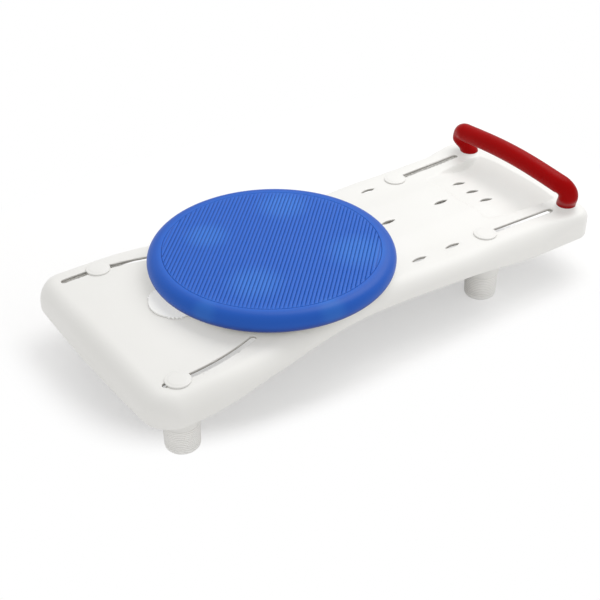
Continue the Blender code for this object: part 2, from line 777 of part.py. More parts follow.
def upright_plate(name, profile, across_x):
    """Thin upright plate from a profile of (run, z) points, along Y or along X."""
    mesh = plate_mesh(name, profile, -RIB_THICKNESS / 2, RIB_THICKNESS / 2)
    for vertex in mesh.vertices:
        run, z, offset = vertex.co
        vertex.co = (offset, run, z) if across_x else (run, offset, z)
    if not across_x:
        mesh.flip_normals()
    return mesh


def rib_edge(wall_place, top, x):
    """Outer edge of a rib, from its lower edge up the rolled edge, inside the skin."""
    middle = WALL / 2
    height = roll_height(x) - middle
    rise = (top - middle - RIB_BOTTOM) / height
    start = math.acos(1 - min(rise, 1.0))
    steps = 3
    edge = []
    for step in range(steps + 1):
        turn = start * (1 - step / steps)
        inset = (roll_width(x) - middle) * (1 - math.sin(turn)) + middle
        edge.append((wall_place - inset, top - middle - height * (1 - math.cos(turn))))
    if rise > 1.0:
        edge.insert(0, (edge[0][0], RIB_BOTTOM))
    return edge


def cross_rib_profile(x):
    """Profile of the rib across the board at a station, clear of the feet's lanes."""
    wall = half_width(x)
    wide_lane = ARC_SLOT_OUTER_X - LEG_CORRIDOR < x < ARC_SLOT_INNER_X + LEG_CORRIDOR / 2
    handle_lane = STRAIGHT_SLOT_START_X - LEG_CORRIDOR < x < LEG_LIMIT_X + LEG_CORRIDOR
    if wide_lane or handle_lane:
        inner = lane_y(x) - LEG_CORRIDOR
        edge = [(inner, RIB_BOTTOM), (inner, deck_height(x, inner) - WALL / 2)]
    else:
        edge = rib_edge(wall, deck_height(x, wall - roll_width(x)), x)
    steps = 10
    limit = edge[-1][0]
    samples = [limit * (1 - 2 * step / steps) for step in range(1, steps)]
    crown = [(y, deck_height(x, y) - WALL / 2) for y in samples]
    return edge + crown + [(-y, z) for y, z in edge[::-1]]


def long_rib_profile(y):
    """Profile of a rib along the board at a distance from its centre line."""
    handle_top = deck_height(HANDLE_END_X - HANDLE_ROLL_WIDTH, y)
    wide_top = deck_height(WIDE_END_X + ROLL_WIDTH, y)
    handle_edge = rib_edge(HANDLE_END_X, handle_top, HANDLE_END_X)
    wide_edge = rib_edge(-WIDE_END_X, wide_top, WIDE_END_X)
    steps = 18
    start = handle_edge[-1][0]
    run = start + wide_edge[-1][0]
    samples = [start - run * step / steps for step in range(1, steps)]
    crown = [(x, deck_height(x, y) - WALL / 2) for x in samples]
    return handle_edge + crown + [(-x, z) for x, z in wide_edge[::-1]]


def deck():
    """The moulded board: shell, ribs and bosses, with its slots, holes and soap tray."""
    board = add_part("deck", deck_surface_mesh(), "white_polypropylene")
    shell = board.modifiers.new("wall", "SOLIDIFY")
    shell.thickness = WALL
    shell.offset = -1.0
    shell.use_even_offset = True

    added = cutter_group("deck_ribs_and_bosses")
    for side in (1, -1):
        for offset in (INNER_RIB_OFFSET, OUTER_RIB_OFFSET):
            mesh = upright_plate("long_rib", long_rib_profile(offset), False)
            add_cutter("long_rib", mesh, (0.0, side * offset, 0.0), 0.0, added)
    for station in WIDE_RIB_STATIONS + HANDLE_RIB_STATIONS:
        mesh = upright_plate("cross_rib", cross_rib_profile(station), True)
        add_cutter("cross_rib", mesh, (station, 0.0, 0.0), 0.0, added)
    tray_block = tray_mesh("tray_block", WALL, WALL, 1 * MM)
    add_cutter("tray_block", tray_block, (0.0, 0.0, 0.0), 0.0, added)
    skin_middle = DECK_TOP - WALL / 2
    boss = rod_mesh("pivot_boss", HUB_RADIUS, PIVOT_BOSS_BOTTOM, skin_middle)
    add_cutter("pivot_boss", boss, (DISC_X, 0.0, 0.0), 0.0, added)
    track_low = DECK_LANE - WALL / 2
    track = turned_mesh(
        "glide_track",
        [
            (TRACK_OUTER_RADIUS, TRACK_TOP),
            (TRACK_OUTER_RADIUS, track_low),
            (TRACK_INNER_RADIUS, track_low),
            (TRACK_INNER_RADIUS, TRACK_TOP),
        ],
        WIDE_SIDE_COUNT,
    )
    add_cutter("glide_track", track, (DISC_X, 0.0, 0.0), 0.0, added)
    hub = rod_mesh("pivot_hub", HUB_RADIUS - 2 * MM, skin_middle, TRACK_TOP)
    add_cutter("pivot_hub", hub, (DISC_X, 0.0, 0.0), 0.0, added)
    for side in (1, -1):
        top = deck_height(POST_X, POST_Y) - WALL / 2
        post_boss = rod_mesh("post_boss", POST_BOSS_RADIUS, POST_BOSS_BOTTOM, top)
        add_cutter("post_boss", post_boss, (POST_X, side * POST_Y, 0.0), 0.0, added)
    boolean(board, added, "UNION")

    cuts = cutter_group("deck_cuts")
    low = SKIRT_BOTTOM
    high = DECK_TOP + CUT_REACH
    for side in (1, -1):
        half_slot = SLOT_WIDTH / 2
        inner_ends = (ARC_SLOT_OUTER_X + half_slot, ARC_SLOT_INNER_X - half_slot)
        outer_ends = (STRAIGHT_SLOT_START_X + half_slot, STRAIGHT_SLOT_END_X - half_slot)
        for kind, ends in (("arc", inner_ends), ("straight", outer_ends)):
            path = slot_path(kind, ends[0], ends[1], side)
            mesh = plate_mesh("foot_slot", slot_outline(path, half_slot), low, high)
            add_cutter("foot_slot", mesh, (0.0, 0.0, 0.0), 0.0, cuts)
    side_y = STRAIGHT_SLOT_OFFSET - SIDE_DRAIN_INSET
    drains = [(x, side * side_y) for x in SIDE_DRAIN_STATIONS for side in (1, -1)]
    drains += [(x, 0.0) for x in CENTRE_DRAIN_STATIONS]
    drains += [(TRAY_DRAIN_STATION, step * TRAY_DRAIN_PITCH) for step in (-1, 0, 1)]
    for x, y in drains:
        mesh = plate_mesh("drain", drain_outline(x, y), low, high)
        add_cutter("drain", mesh, (0.0, 0.0, 0.0), 0.0, cuts)
    bush_hole = rod_mesh("bush_hole", PIVOT_RADIUS + BUSH_WALL + 2 * CLEARANCE, low, high)
    add_cutter("bush_hole", bush_hole, (DISC_X, 0.0, 0.0), 0.0, cuts)
    for side in (1, -1):
        hole = rod_mesh("post_hole", HANDLE_SCREW_RADIUS + CLEARANCE, low, high, 12)
        add_cutter("post_hole", hole, (POST_X, side * POST_Y, 0.0), 0.0, cuts)
    hollow = tray_mesh("tray_hollow", 0.0, 0.0, -CUT_REACH)
    add_cutter("tray_hollow", hollow, (0.0, 0.0, 0.0), 0.0, cuts)
    boolean(board, cuts)
    return board


def handle_sections():
    """Sections of one half of the handle, from its foot to the middle of its grip.

    Each is the centre's x, y and z, the radius, and the turn of the section from level.
    """
    elbow_z = GRIP_HEIGHT - GRIP_ARCH - ELBOW_RADIUS
    elbow_y = POST_Y + HANDLE_BULGE - ELBOW_RADIUS
    post_steps = 4
    elbow_steps = 5
    grip_steps = 4
    sections = []
    for step in range(post_steps):
        share = step / post_steps
        x = POST_X - HANDLE_LEAN * 0.6 * ease(share)
        y = POST_Y + HANDLE_BULGE * ease(share)
        z = POST_FOOT + (elbow_z - POST_FOOT) * share
        sections.append((x, y, z, POST_RADIUS, 0.0))
    for step in range(elbow_steps + 1):
        share = step / elbow_steps
        turn = math.pi / 2 * share
        x = POST_X - HANDLE_LEAN * (0.6 + 0.4 * ease(share))
        y = elbow_y + ELBOW_RADIUS * math.cos(turn)
        z = elbow_z + ELBOW_RADIUS * math.sin(turn)
        radius = POST_RADIUS + (GRIP_RADIUS - POST_RADIUS) * share
        sections.append((x, y, z, radius, turn))
    for step in range(1, grip_steps + 1):
        y = elbow_y * (1 - step / grip_steps)
        z = GRIP_HEIGHT - GRIP_ARCH + GRIP_ARCH * math.cos(math.pi / 2 * y / elbow_y)
        sections.append((POST_X - HANDLE_LEAN, y, z, GRIP_RADIUS, math.pi / 2))
    return sections


def handle_mesh():
    """Round bar on two short posts, as rings joined from foot to foot."""
    sections = [(side, section) for side in (1, -1) for section in handle_sections()]
    middle = len(sections) // 2
    ordered = sections[:middle] + sections[middle:-1][::-1]

    def build(shape):
        rings = []
        for side, (x, y, z, radius, turn) in ordered:
            ring = []
            for index in range(GRIP_SIDE_COUNT):
                around = 2 * math.pi * index / GRIP_SIDE_COUNT
                out = radius * math.sin(around)
                across = radius * math.cos(around)
                place = (x + across, side * (y + out * math.cos(turn)), z + out * math.sin(turn))
                ring.append(shape.verts.new(place))
            rings.append(ring)
        for first, second in zip(rings, rings[1:]):
            for i in range(GRIP_SIDE_COUNT):
                j = (i + 1) % GRIP_SIDE_COUNT
                shape.faces.new((first[i], first[j], second[j], second[i]))
        shape.faces.new(rings[0])
        shape.faces.new(rings[-1])
        bmesh.ops.recalc_face_normals(shape, faces=shape.faces)

    mesh = mesh_of("handle", build)
    smooth(mesh)
    return mesh


def handle():
    """The grab handle, with a screw hole in each foot."""
    grip = add_part("handle", handle_mesh(), "red_plastic")
    holes = cutter_group("handle_screw_holes")
    low = POST_FOOT - 5 * MM
    high = POST_FOOT + HANDLE_SCREW_DEPTH + CLEARANCE
    for side in (1, -1):
        hole = rod_mesh("screw_hole", HANDLE_SCREW_RADIUS + CLEARANCE, low, high, 12)
        add_cutter("screw_hole", hole, (POST_X, side * POST_Y, 0.0), 0.0, holes)
    boolean(grip, holes)
    return grip


def screw_mesh(name, radius, head_radius, low, high, head_height):
    """Turned pan-head screw between two heights, with its head below."""
    profile = [
        (0.0, high),
        (radius, high),
        (radius, low + head_height),
        (head_radius, low + head_height),
        (head_radius * 0.85, low),
        (0.0, low),
    ]
    return turned_mesh(name, profile, SCREW_SIDE_COUNT)


def copies(names, places, build_mesh, finish, parent=None):
    """Add one piece of the same form at each of several places."""
    for name, (x, y) in zip(names, places):
        add_part(name, build_mesh(), finish, (x, y, 0.0), parent=parent)


def handle_screws():
    """Two screws that come up through the deck's bosses into the handle."""
    low = POST_BOSS_BOTTOM - CLEARANCE - HANDLE_SCREW_HEAD_HEIGHT
    high = POST_FOOT + HANDLE_SCREW_DEPTH
    copies(
        ("handle_screw_near", "handle_screw_far"),
        [(POST_X, side * POST_Y) for side in (-1, 1)],
        lambda: screw_mesh(
            "handle_screw",
            HANDLE_SCREW_RADIUS,
            HANDLE_SCREW_HEAD_RADIUS,
            low,
            high,
            HANDLE_SCREW_HEAD_HEIGHT,
        ),
        "stainless_steel",
    )


def seat_axis():
    """Empty on the seat's axis that carries the turning pieces."""
    axis = bpy.data.objects.new("seat_axis", None)
    PARTS.objects.link(axis)
    axis.location = (DISC_X, 0.0, 0.0)
    return axis


def pad_height(radius):
    """Height of the ribbed field at a distance from its middle: a shallow dome."""
    return DISC_RIM_TOP - FIELD_STEP + DISC_CROWN * (1 - (radius / RIBBED_RADIUS) ** 2)


def pad_rim_profile():
    """Section of the pad from the edge of the ribbed field, over the rim, to the pocket."""
    middle_z = DISC_RIM_BOTTOM + DISC_RIM_RADIUS
    rim_x = DISC_RADIUS - DISC_RIM_RADIUS
    pocket_radius = CORE_RADIUS + CLEARANCE
    pocket_top = CORE_TOP + CLEARANCE
    rim_steps = 7
    profile = [(RIBBED_RADIUS + 2 * FIELD_STEP, DISC_RIM_TOP)]
    for step in range(rim_steps + 1):
        turn = math.radians(90 - 180 * step / rim_steps)
        radius = rim_x + DISC_RIM_RADIUS * math.cos(turn)
        profile.append((radius, middle_z + DISC_RIM_RADIUS * math.sin(turn)))
    return profile + [(pocket_radius, DISC_RIM_BOTTOM), (pocket_radius, pocket_top)]


def groove_lines():
    """Offset and half length of each groove of the pad's field, which end inside it."""
    reach = RIBBED_RADIUS - GROOVE_END_MARGIN
    count = int((reach - GROOVE_WIDTH) / GROOVE_PITCH)
    offsets = [index * GROOVE_PITCH for index in range(-count, count + 1)]
    return [(offset, math.sqrt(reach**2 - (abs(offset) + GROOVE_WIDTH) ** 2)) for offset in offsets]


def seat_pad_mesh():
    """Closed cover: a grooved dome, a rolled rim, and a pocket below for the core.

    Places are worked out along and across the grooves, then turned to their heading.
    Each groove is a V with closed ends, its edges raised to the dome at half its length.
    """
    ring = [2 * math.pi * index / FINE_SIDE_COUNT for index in range(FINE_SIDE_COUNT)]
    plan = [(RIBBED_RADIUS * math.cos(turn), RIBBED_RADIUS * math.sin(turn)) for turn in ring]
    edges = [(index, (index + 1) % FINE_SIDE_COUNT) for index in range(FINE_SIDE_COUNT)]
    half = GROOVE_WIDTH / 2
    lines = groove_lines()
    for offset, reach in lines:
        first = len(plan)
        plan += [(along, offset - half) for along in (-reach, 0.0, reach)]
        plan += [(along, offset + half) for along in (reach, 0.0, -reach)]
        edges += [(first + index, first + (index + 1) % 6) for index in range(6)]
    flat = [Vector((along / MM, across / MM)) for along, across in plan]
    found = delaunay_2d_cdt(flat, edges, [], 1, 0.0001)
    heading = math.radians(GROOVE_ANGLE_DEGREES)

    def placed(shape, along, across, z):
        x = along * math.cos(heading) - across * math.sin(heading)
        y = along * math.sin(heading) + across * math.cos(heading)
        return shape.verts.new((x, y, z))

    def in_groove(points):
        along = sum(point[0] for point in points) / 3
        across = sum(point[1] for point in points) / 3
        return any(abs(across - offset) < half and abs(along) < reach for offset, reach in lines)

    def build(shape):
        top = [placed(shape, *place, pad_height(math.hypot(*place))) for place in plan]
        source = [origins[0] for origins in found[3]]
        for face in found[2]:
            corners = [source[index] for index in face]
            if not in_groove([plan[index] for index in corners]):
                shape.faces.new([top[index] for index in corners])
        for index, (offset, reach) in enumerate(lines):
            a, b, c, d, e, f = top[FINE_SIDE_COUNT + 6 * index : FINE_SIDE_COUNT + 6 * index + 6]
            run = reach - half
            low = [
                placed(shape, along, offset, pad_height(math.hypot(along, offset)) - GROOVE_DEPTH)
                for along in (-run, 0.0, run)
            ]
            for face in (
                (a, b, low[1], low[0]),
                (b, c, low[2], low[1]),
                (c, d, low[2]),
                (d, e, low[1], low[2]),
                (e, f, low[0], low[1]),
                (f, a, low[0]),
            ):
                shape.faces.new(face)
        above = top[:FINE_SIDE_COUNT]
        for radius, z in pad_rim_profile():
            below = [
                placed(shape, radius * math.cos(turn), radius * math.sin(turn), z) for turn in ring
            ]
            for i in range(FINE_SIDE_COUNT):
                j = (i + 1) % FINE_SIDE_COUNT
                shape.faces.new((above[i], below[i], below[j], above[j]))
            above = below
        shape.faces.new(above)
        bmesh.ops.recalc_face_normals(shape, faces=shape.faces)

    mesh = mesh_of("seat_pad", build)
    smooth(mesh)
    return mesh


def seat_pad(axis):
    """The soft cover: wraps the core's edge, with parallel grooves across its top."""
    return add_part("seat_pad", seat_pad_mesh(), "blue_foam", parent=axis)


def seat_core(axis):
    """The stiff disc inside the cover: plate, outer wall, track wall, hub and ribs."""
    foot = CORE_FOOT
    plate_low = CORE_TOP - CORE_PLATE
    track_out = GLIDE_OUTER_RADIUS - GLIDE_MARGIN
    track_in = GLIDE_INNER_RADIUS + GLIDE_MARGIN
    bore = PIVOT_RADIUS + CLEARANCE
    head_pocket = PIVOT_HEAD_RADIUS + CLEARANCE
    shelf = foot + HUB_SHELF
    profile = [
        (head_pocket, CORE_TOP),
        (CORE_RADIUS, CORE_TOP),
        (CORE_RADIUS, foot + 1 * MM),
        (CORE_RADIUS - CORE_WALL, foot + 1 * MM),
        (CORE_RADIUS - CORE_WALL, plate_low),
        (track_out, plate_low),
        (track_out, foot),
        (track_in, foot),
        (track_in, plate_low),
        (HUB_RADIUS, plate_low),
        (HUB_RADIUS, foot),
        (bore, foot),
        (bore, shelf),
        (head_pocket, shelf),
    ]
    mesh = turned_mesh("seat_core", profile, WIDE_SIDE_COUNT)
    core = add_part("seat_core", mesh, "white_polypropylene", parent=axis)
    ribs = cutter_group("core_ribs")
    half = CORE_RIB_THICKNESS / 2
    rib_high = CORE_TOP - 1 * MM
    rib_low = rib_high - CORE_RIB_HEIGHT
    for index in range(CORE_RIB_COUNT):
        turn = 2 * math.pi * (index + 0.5) / CORE_RIB_COUNT
        inner = box_mesh(
            "inner_rib",
            (HUB_RADIUS - 2 * MM, -half, rib_low),
            (track_in + 1 * MM, half, rib_high),
        )
        outer = box_mesh(
            "outer_rib",
            (INDEX_OUTER_RADIUS + 1 * MM, -half, rib_low),
            (CORE_RADIUS - 1 * MM, half, rib_high),
        )
        for mesh in (inner, outer):
            add_cutter(mesh.name, mesh, (DISC_X, 0.0, 0.0), turn, ribs)
    boolean(core, ribs, "UNION")
    holes = cutter_group("index_screw_holes")
    hole_radius = SMALL_SCREW_RADIUS + CLEARANCE
    for x, y in index_screw_places():
        hole = rod_mesh("index_screw_hole", hole_radius, plate_low - 1 * MM, rib_high, 8)
        add_cutter("index_screw_hole", hole, (DISC_X + x, y, 0.0), 0.0, holes)
    boolean(core, holes)
    return core


def index_screw_places():
    """Places of the index ring's screws about the seat's axis, inside its lip."""
    radius = (INDEX_INNER_RADIUS + INDEX_LIP_RADIUS) / 2
    count = 4
    first = math.pi / STOP_COUNT
    turns = [first + 2 * math.pi * index / count for index in range(count)]
    return [(radius * math.cos(turn), radius * math.sin(turn)) for turn in turns]


def index_ring(axis):
    """Ring below the core: a screwed flange, and a lip with a notch for each stop."""
    profile = [
        (INDEX_OUTER_RADIUS, INDEX_TOP),
        (INDEX_OUTER_RADIUS, INDEX_LIP_BOTTOM),
        (INDEX_LIP_RADIUS, INDEX_LIP_BOTTOM),
        (INDEX_LIP_RADIUS, INDEX_FLANGE_BOTTOM),
        (INDEX_INNER_RADIUS, INDEX_FLANGE_BOTTOM),
        (INDEX_INNER_RADIUS, INDEX_TOP),
    ]
    mesh = turned_mesh("index_ring", profile, WIDE_SIDE_COUNT)
    ring = add_part("index_ring", mesh, "acetal", parent=axis)
    notches = cutter_group("index_notches")
    for index in range(STOP_COUNT):
        turn = 2 * math.pi * index / STOP_COUNT
        notch = box_mesh(
            "notch",
            (INDEX_OUTER_RADIUS - NOTCH_DEPTH, -NOTCH_WIDTH / 2, INDEX_LIP_BOTTOM - 5 * MM),
            (INDEX_OUTER_RADIUS + 5 * MM, NOTCH_WIDTH / 2, INDEX_LIP_BOTTOM + NOTCH_HEIGHT),
        )
        add_cutter("notch", notch, (DISC_X, 0.0, 0.0), turn, notches)
    hole_radius = SMALL_SCREW_RADIUS + CLEARANCE
    low = INDEX_FLANGE_BOTTOM - 1 * MM
    for x, y in index_screw_places():
        hole = rod_mesh("ring_screw_hole", hole_radius, low, INDEX_TOP + 1 * MM, 8)
        add_cutter("ring_screw_hole", hole, (DISC_X + x, y, 0.0), 0.0, notches)
    boolean(ring, notches)
    return ring


def index_screws(axis):
    """Screws that hold the index ring to the core, with their heads below its flange."""
    head_height = SMALL_SCREW_HEAD_HEIGHT
    low = INDEX_FLANGE_BOTTOM - CLEARANCE - head_height
    high = CORE_TOP - 1.5 * MM
    places = index_screw_places()
    names = ["index_screw_%d" % (index + 1) for index in range(len(places))]
    copies(
        names,
        places,
        lambda: screw_mesh(
            "index_screw", SMALL_SCREW_RADIUS, SMALL_SCREW_HEAD_RADIUS, low, high, head_height
        ),
        "stainless_steel",
        axis,
    )


def glide_ring():
    """Low-friction ring that lies on the deck's track and carries the seat."""
    low = TRACK_TOP + CLEARANCE
    high = low + GLIDE_THICKNESS
    profile = [
        (GLIDE_OUTER_RADIUS, high),
        (GLIDE_OUTER_RADIUS, low),
        (GLIDE_INNER_RADIUS, low),
        (GLIDE_INNER_RADIUS, high),
    ]
    mesh = turned_mesh("glide_ring", profile, WIDE_SIDE_COUNT)
    return add_part("glide_ring", mesh, "acetal", (DISC_X, 0.0, 0.0))


def pivot_parts():
    """Bolt, bush, washer and nut on the seat's axis."""
    place = (DISC_X, 0.0, 0.0)
    head_low = CORE_FOOT + HUB_SHELF + CLEARANCE
    head_high = head_low + PIVOT_HEAD_HEIGHT
    washer_high = PIVOT_BOSS_BOTTOM - CLEARANCE
    washer_low = washer_high - PIVOT_WASHER_THICKNESS
    nut_high = washer_low - CLEARANCE
    nut_low = nut_high - PIVOT_NUT_HEIGHT
    bolt_low = nut_low - 3 * MM
    profile = [
        (0.0, head_high),
        (PIVOT_HEAD_RADIUS * 0.8, head_high),
        (PIVOT_HEAD_RADIUS, (head_low + head_high) / 2),
        (PIVOT_HEAD_RADIUS, head_low),
        (PIVOT_RADIUS, head_low),
        (PIVOT_RADIUS, bolt_low),
        (0.0, bolt_low),
    ]
    bolt = turned_mesh("pivot_bolt", profile, SMALL_SIDE_COUNT)
    add_part("pivot_bolt", bolt, "stainless_steel", place)
    bore = PIVOT_RADIUS + CLEARANCE
    outer = PIVOT_RADIUS + BUSH_WALL + CLEARANCE
    flange_low = TRACK_TOP + CLEARANCE
    flange_high = flange_low + GLIDE_THICKNESS
    profile = [
        (BUSH_FLANGE_RADIUS, flange_high),
        (BUSH_FLANGE_RADIUS, flange_low),
        (outer, flange_low),
        (outer, PIVOT_BOSS_BOTTOM),
        (bore, PIVOT_BOSS_BOTTOM),
        (bore, flange_high),
    ]
    bush = turned_mesh("pivot_bush", profile, SMALL_SIDE_COUNT)
    add_part("pivot_bush", bush, "acetal", place)
    washer = washer_mesh("pivot_washer", PIVOT_WASHER_RADIUS, bore, washer_low, washer_high)
    add_part("pivot_washer", washer, "stainless_steel", place)
    nut = nut_mesh("pivot_nut", PIVOT_NUT_RADIUS, bore, nut_low, nut_high)
    add_part("pivot_nut", nut, "stainless_steel", place)


def washer_mesh(name, outer, bore, low, high):
    """Plain washer with a round bore."""
    profile = [(outer, high), (outer, low), (bore, low), (bore, high)]
    return turned_mesh(name, profile, SMALL_SIDE_COUNT)


def ring_prism_mesh(name, outer, inner, low, high, sides):
    """Ring with flat sides outside and inside, such as a nut."""
    profile = [(outer, high), (outer, low), (inner, low), (inner, high)]
    mesh = turned_mesh(name, profile, sides)
    mesh.shade_flat()
    return mesh


def nut_mesh(name, radius, bore, low, high):
    """Hexagonal nut, whose six-sided bore clears a bolt of that bore at its flats."""
    return ring_prism_mesh(name, radius, bore / math.cos(math.pi / 6), low, high, 6)


def tongue_outline():
    """Outline of the lock tongue about the seat's axis.

    From the outside in: a round end with finger teeth on both flanks, the shoulders, a
    neck that runs between the rails, and the tooth that enters the index ring's notches.
    """
    tip = -TONGUE_TIP_RADIUS
    centre = tip + TONGUE_END_RADIUS
    half = TONGUE_WIDTH / 2
    neck = TONGUE_NECK_WIDTH / 2
    nose = NOTCH_WIDTH / 2 - TOOTH_SIDE_GAP
    neck_end = -(INDEX_OUTER_RADIUS + LOCK_TRAVEL + SHOULDER_GAP)
    tooth_end = -(INDEX_OUTER_RADIUS + TOOTH_RUNNING_GAP)
    reach = math.asin(half / TONGUE_END_RADIUS)
    tooth_turn = FINGER_TOOTH_PITCH / TONGUE_END_RADIUS
    teeth_span = tooth_turn * FINGER_TEETH
    smooth_reach = reach - teeth_span
    arc_steps = 10
    flank = []
    for step in range(arc_steps // 2 + 1):
        turn = smooth_reach * step / (arc_steps // 2)
        flank.append((TONGUE_END_RADIUS, turn))
    for tooth in range(FINGER_TEETH):
        start = smooth_reach + tooth * tooth_turn
        flank.append((TONGUE_END_RADIUS + FINGER_TOOTH_HEIGHT, start + tooth_turn * 0.3))
        flank.append((TONGUE_END_RADIUS + FINGER_TOOTH_HEIGHT, start + tooth_turn * 0.6))
        flank.append((TONGUE_END_RADIUS, start + tooth_turn * 0.85))
    arc = [(centre - r * math.cos(turn), r * math.sin(turn)) for r, turn in flank]
    shoulder = -(RAIL_START_RADIUS + RAIL_LENGTH + LOCK_TRAVEL + SHOULDER_GAP)
    side = arc + [(shoulder, half), (shoulder, neck), (neck_end, neck)]
    side += [(neck_end, nose), (tooth_end, nose)]
    return side + [(x, -y) for x, y in side[:0:-1]]


def lock_tongue():
    """Sliding tongue, a flat plate with its tooth at the inner end."""
    plate = plate_mesh("lock_tongue", tongue_outline(), TONGUE_TOP - TONGUE_THICKNESS, TONGUE_TOP)
    return add_part("lock_tongue", plate, "white_polypropylene", (DISC_X, 0.0, 0.0))


def rail_screw_places(side):
    """Places of the two screws in one rail."""
    y = side * (TONGUE_NECK_WIDTH / 2 + CLEARANCE + RAIL_WIDTH / 2)
    start = DISC_X - RAIL_START_RADIUS
    return [(start - RAIL_LENGTH * share, y) for share in (0.3, 0.7)]


def lock_rails():
    """Two rails on the deck that guide the tongue's neck, each held by two screws."""
    low = DECK_TOP + CLEARANCE
    high = TONGUE_TOP
    inner = TONGUE_NECK_WIDTH / 2 + CLEARANCE
    start = DISC_X - RAIL_START_RADIUS
    end = start - RAIL_LENGTH
    hole_radius = SMALL_SCREW_RADIUS + CLEARANCE
    for name, side in (("lock_rail_near", -1), ("lock_rail_far", 1)):
        corners = sorted((side * inner, side * (inner + RAIL_WIDTH)))
        mesh = box_mesh(name, (end, corners[0], low), (start, corners[1], high))
        rail = add_part(name, mesh, "acetal")
        holes = cutter_group(name + "_holes")
        for x, y in rail_screw_places(side):
            hole = rod_mesh("rail_hole", hole_radius, low - 1 * MM, high + 1 * MM, 8)
            add_cutter("rail_hole", hole, (x, y, 0.0), 0.0, holes)
        boolean(rail, holes)
        names = [name.replace("rail", "screw") + suffix for suffix in ("_inner", "_outer")]
        copies(
            names,
            rail_screw_places(side),
            lambda: rod_mesh("rail_screw", SMALL_SCREW_RADIUS, low, high - CLEARANCE, 8),
            "stainless_steel",
        )


def foot_place(name):
    """Place and heading of a foot at rest: x, y and the direction of its slot."""
    x, side = FOOT_STATIONS[name]
    if x < 0:
        heading = -side * math.asin((x - ARC_SLOT_CENTRE_X) / ARC_SLOT_RADIUS)
        return x, side * arc_slot_y(x), heading
    return x, side * straight_slot_y(x), side * math.atan(STRAIGHT_SLOT_FLARE)


def cap_mesh():
    """Domed cap with a pocket below for the bolt's head."""
    low = DECK_LANE + CLEARANCE
    pocket = BOLT_HEAD_RADIUS + CLEARANCE
    pocket_top = low + BOLT_HEAD_HEIGHT + CLEARANCE
    profile = [
        (0.0, low + CAP_HEIGHT),
        (CAP_RADIUS * 0.55, low + CAP_HEIGHT - 0.3 * MM),
        (CAP_RADIUS * 0.85, low + CAP_HEIGHT - 1 * MM),
        (CAP_RADIUS, low + CAP_EDGE),
        (CAP_RADIUS, low),
        (pocket, low),
        (pocket, pocket_top),
        (0.0, pocket_top),
    ]
    return turned_mesh("slot_cap", profile, MEDIUM_SIDE_COUNT)


def foot_bolt(name, place, heading):
    """Bolt with a flat head and a square neck that cannot turn in its slot."""
    neck_low = DECK_LANE - WALL + CLEARANCE
    head_low = DECK_LANE + CLEARANCE
    end = DECK_TOP - BOLT_LENGTH
    profile = [
        (0.0, head_low + BOLT_HEAD_HEIGHT),
        (BOLT_HEAD_RADIUS, head_low + BOLT_HEAD_HEIGHT),
        (BOLT_HEAD_RADIUS, head_low),
        (BOLT_RADIUS, head_low),
        (BOLT_RADIUS, end),
        (0.0, end),
    ]
    mesh = turned_mesh("foot_bolt", profile, SMALL_SIDE_COUNT)
    bolt = add_part("foot_bolt_" + name, mesh, "stainless_steel", place, heading)
    half = SLOT_WIDTH / 2 - CLEARANCE
    neck = box_mesh("neck", (-half, -half, neck_low), (half, half, head_low + 0.5 * MM))
    boolean(bolt, add_cutter("neck_" + name, neck, place, heading), "UNION")
    return bolt


def leg_mesh():
    """Stiff leg: shouldered head with a bore, and a tube that the sleeve is pulled over."""
    head_low = LEG_TOP - LEG_HEAD_HEIGHT
    spigot = LEG_FOOT_RADIUS - SLEEVE_WALL - CLEARANCE
    shoulder = SLEEVE_HEIGHT + CLEARANCE
    inner = spigot - LEG_WALL
    bore = BOLT_RADIUS + CLEARANCE
    foot = SLEEVE_SOLE + CLEARANCE
    profile = [
        (LEG_TOP_RADIUS, LEG_TOP),
        (LEG_RADIUS, LEG_TOP - LEG_CONE_HEIGHT),
        (LEG_FOOT_RADIUS + 0.4 * MM, shoulder),
        (spigot, shoulder),
        (spigot, foot),
        (inner, foot),
        (inner, head_low),
        (bore, head_low),
        (bore, LEG_TOP),
    ]
    return turned_mesh("leg_tube", profile, MEDIUM_SIDE_COUNT)


def nut_pocket_levels():
    """Lowest and highest level of the nut's pocket in a leg's head."""
    head_low = LEG_TOP - LEG_HEAD_HEIGHT
    return head_low, head_low + LEG_NUT_HEIGHT + 2 * CLEARANCE


def sleeve_mesh():
    """Ribbed rubber sleeve with a closed sole."""
    bore = LEG_FOOT_RADIUS - SLEEVE_WALL
    lip = 0.5 * MM
    profile = [(0.0, SLEEVE_SOLE), (bore, SLEEVE_SOLE), (bore, SLEEVE_HEIGHT)]
    profile.append((LEG_FOOT_RADIUS - lip, SLEEVE_HEIGHT))
    pitch = (SLEEVE_HEIGHT - SLEEVE_ROUNDING - 3 * lip) / SLEEVE_RIB_COUNT
    for rib in range(SLEEVE_RIB_COUNT):
        crest = SLEEVE_HEIGHT - lip - pitch * (rib + 0.3)
        profile.append((LEG_FOOT_RADIUS, crest))
        profile.append((LEG_FOOT_RADIUS - SLEEVE_RIB_DEPTH, crest - pitch * 0.55))
    corner = LEG_FOOT_RADIUS - SLEEVE_RIB_DEPTH / 2 - SLEEVE_ROUNDING
    for step in range(4):
        turn = math.radians(30 * step)
        out = SLEEVE_ROUNDING * math.cos(turn)
        profile.append((corner + out, SLEEVE_ROUNDING * (1 - math.sin(turn))))
    profile.append((0.0, 0.0))
    return turned_mesh("leg_sleeve", profile, MEDIUM_SIDE_COUNT)


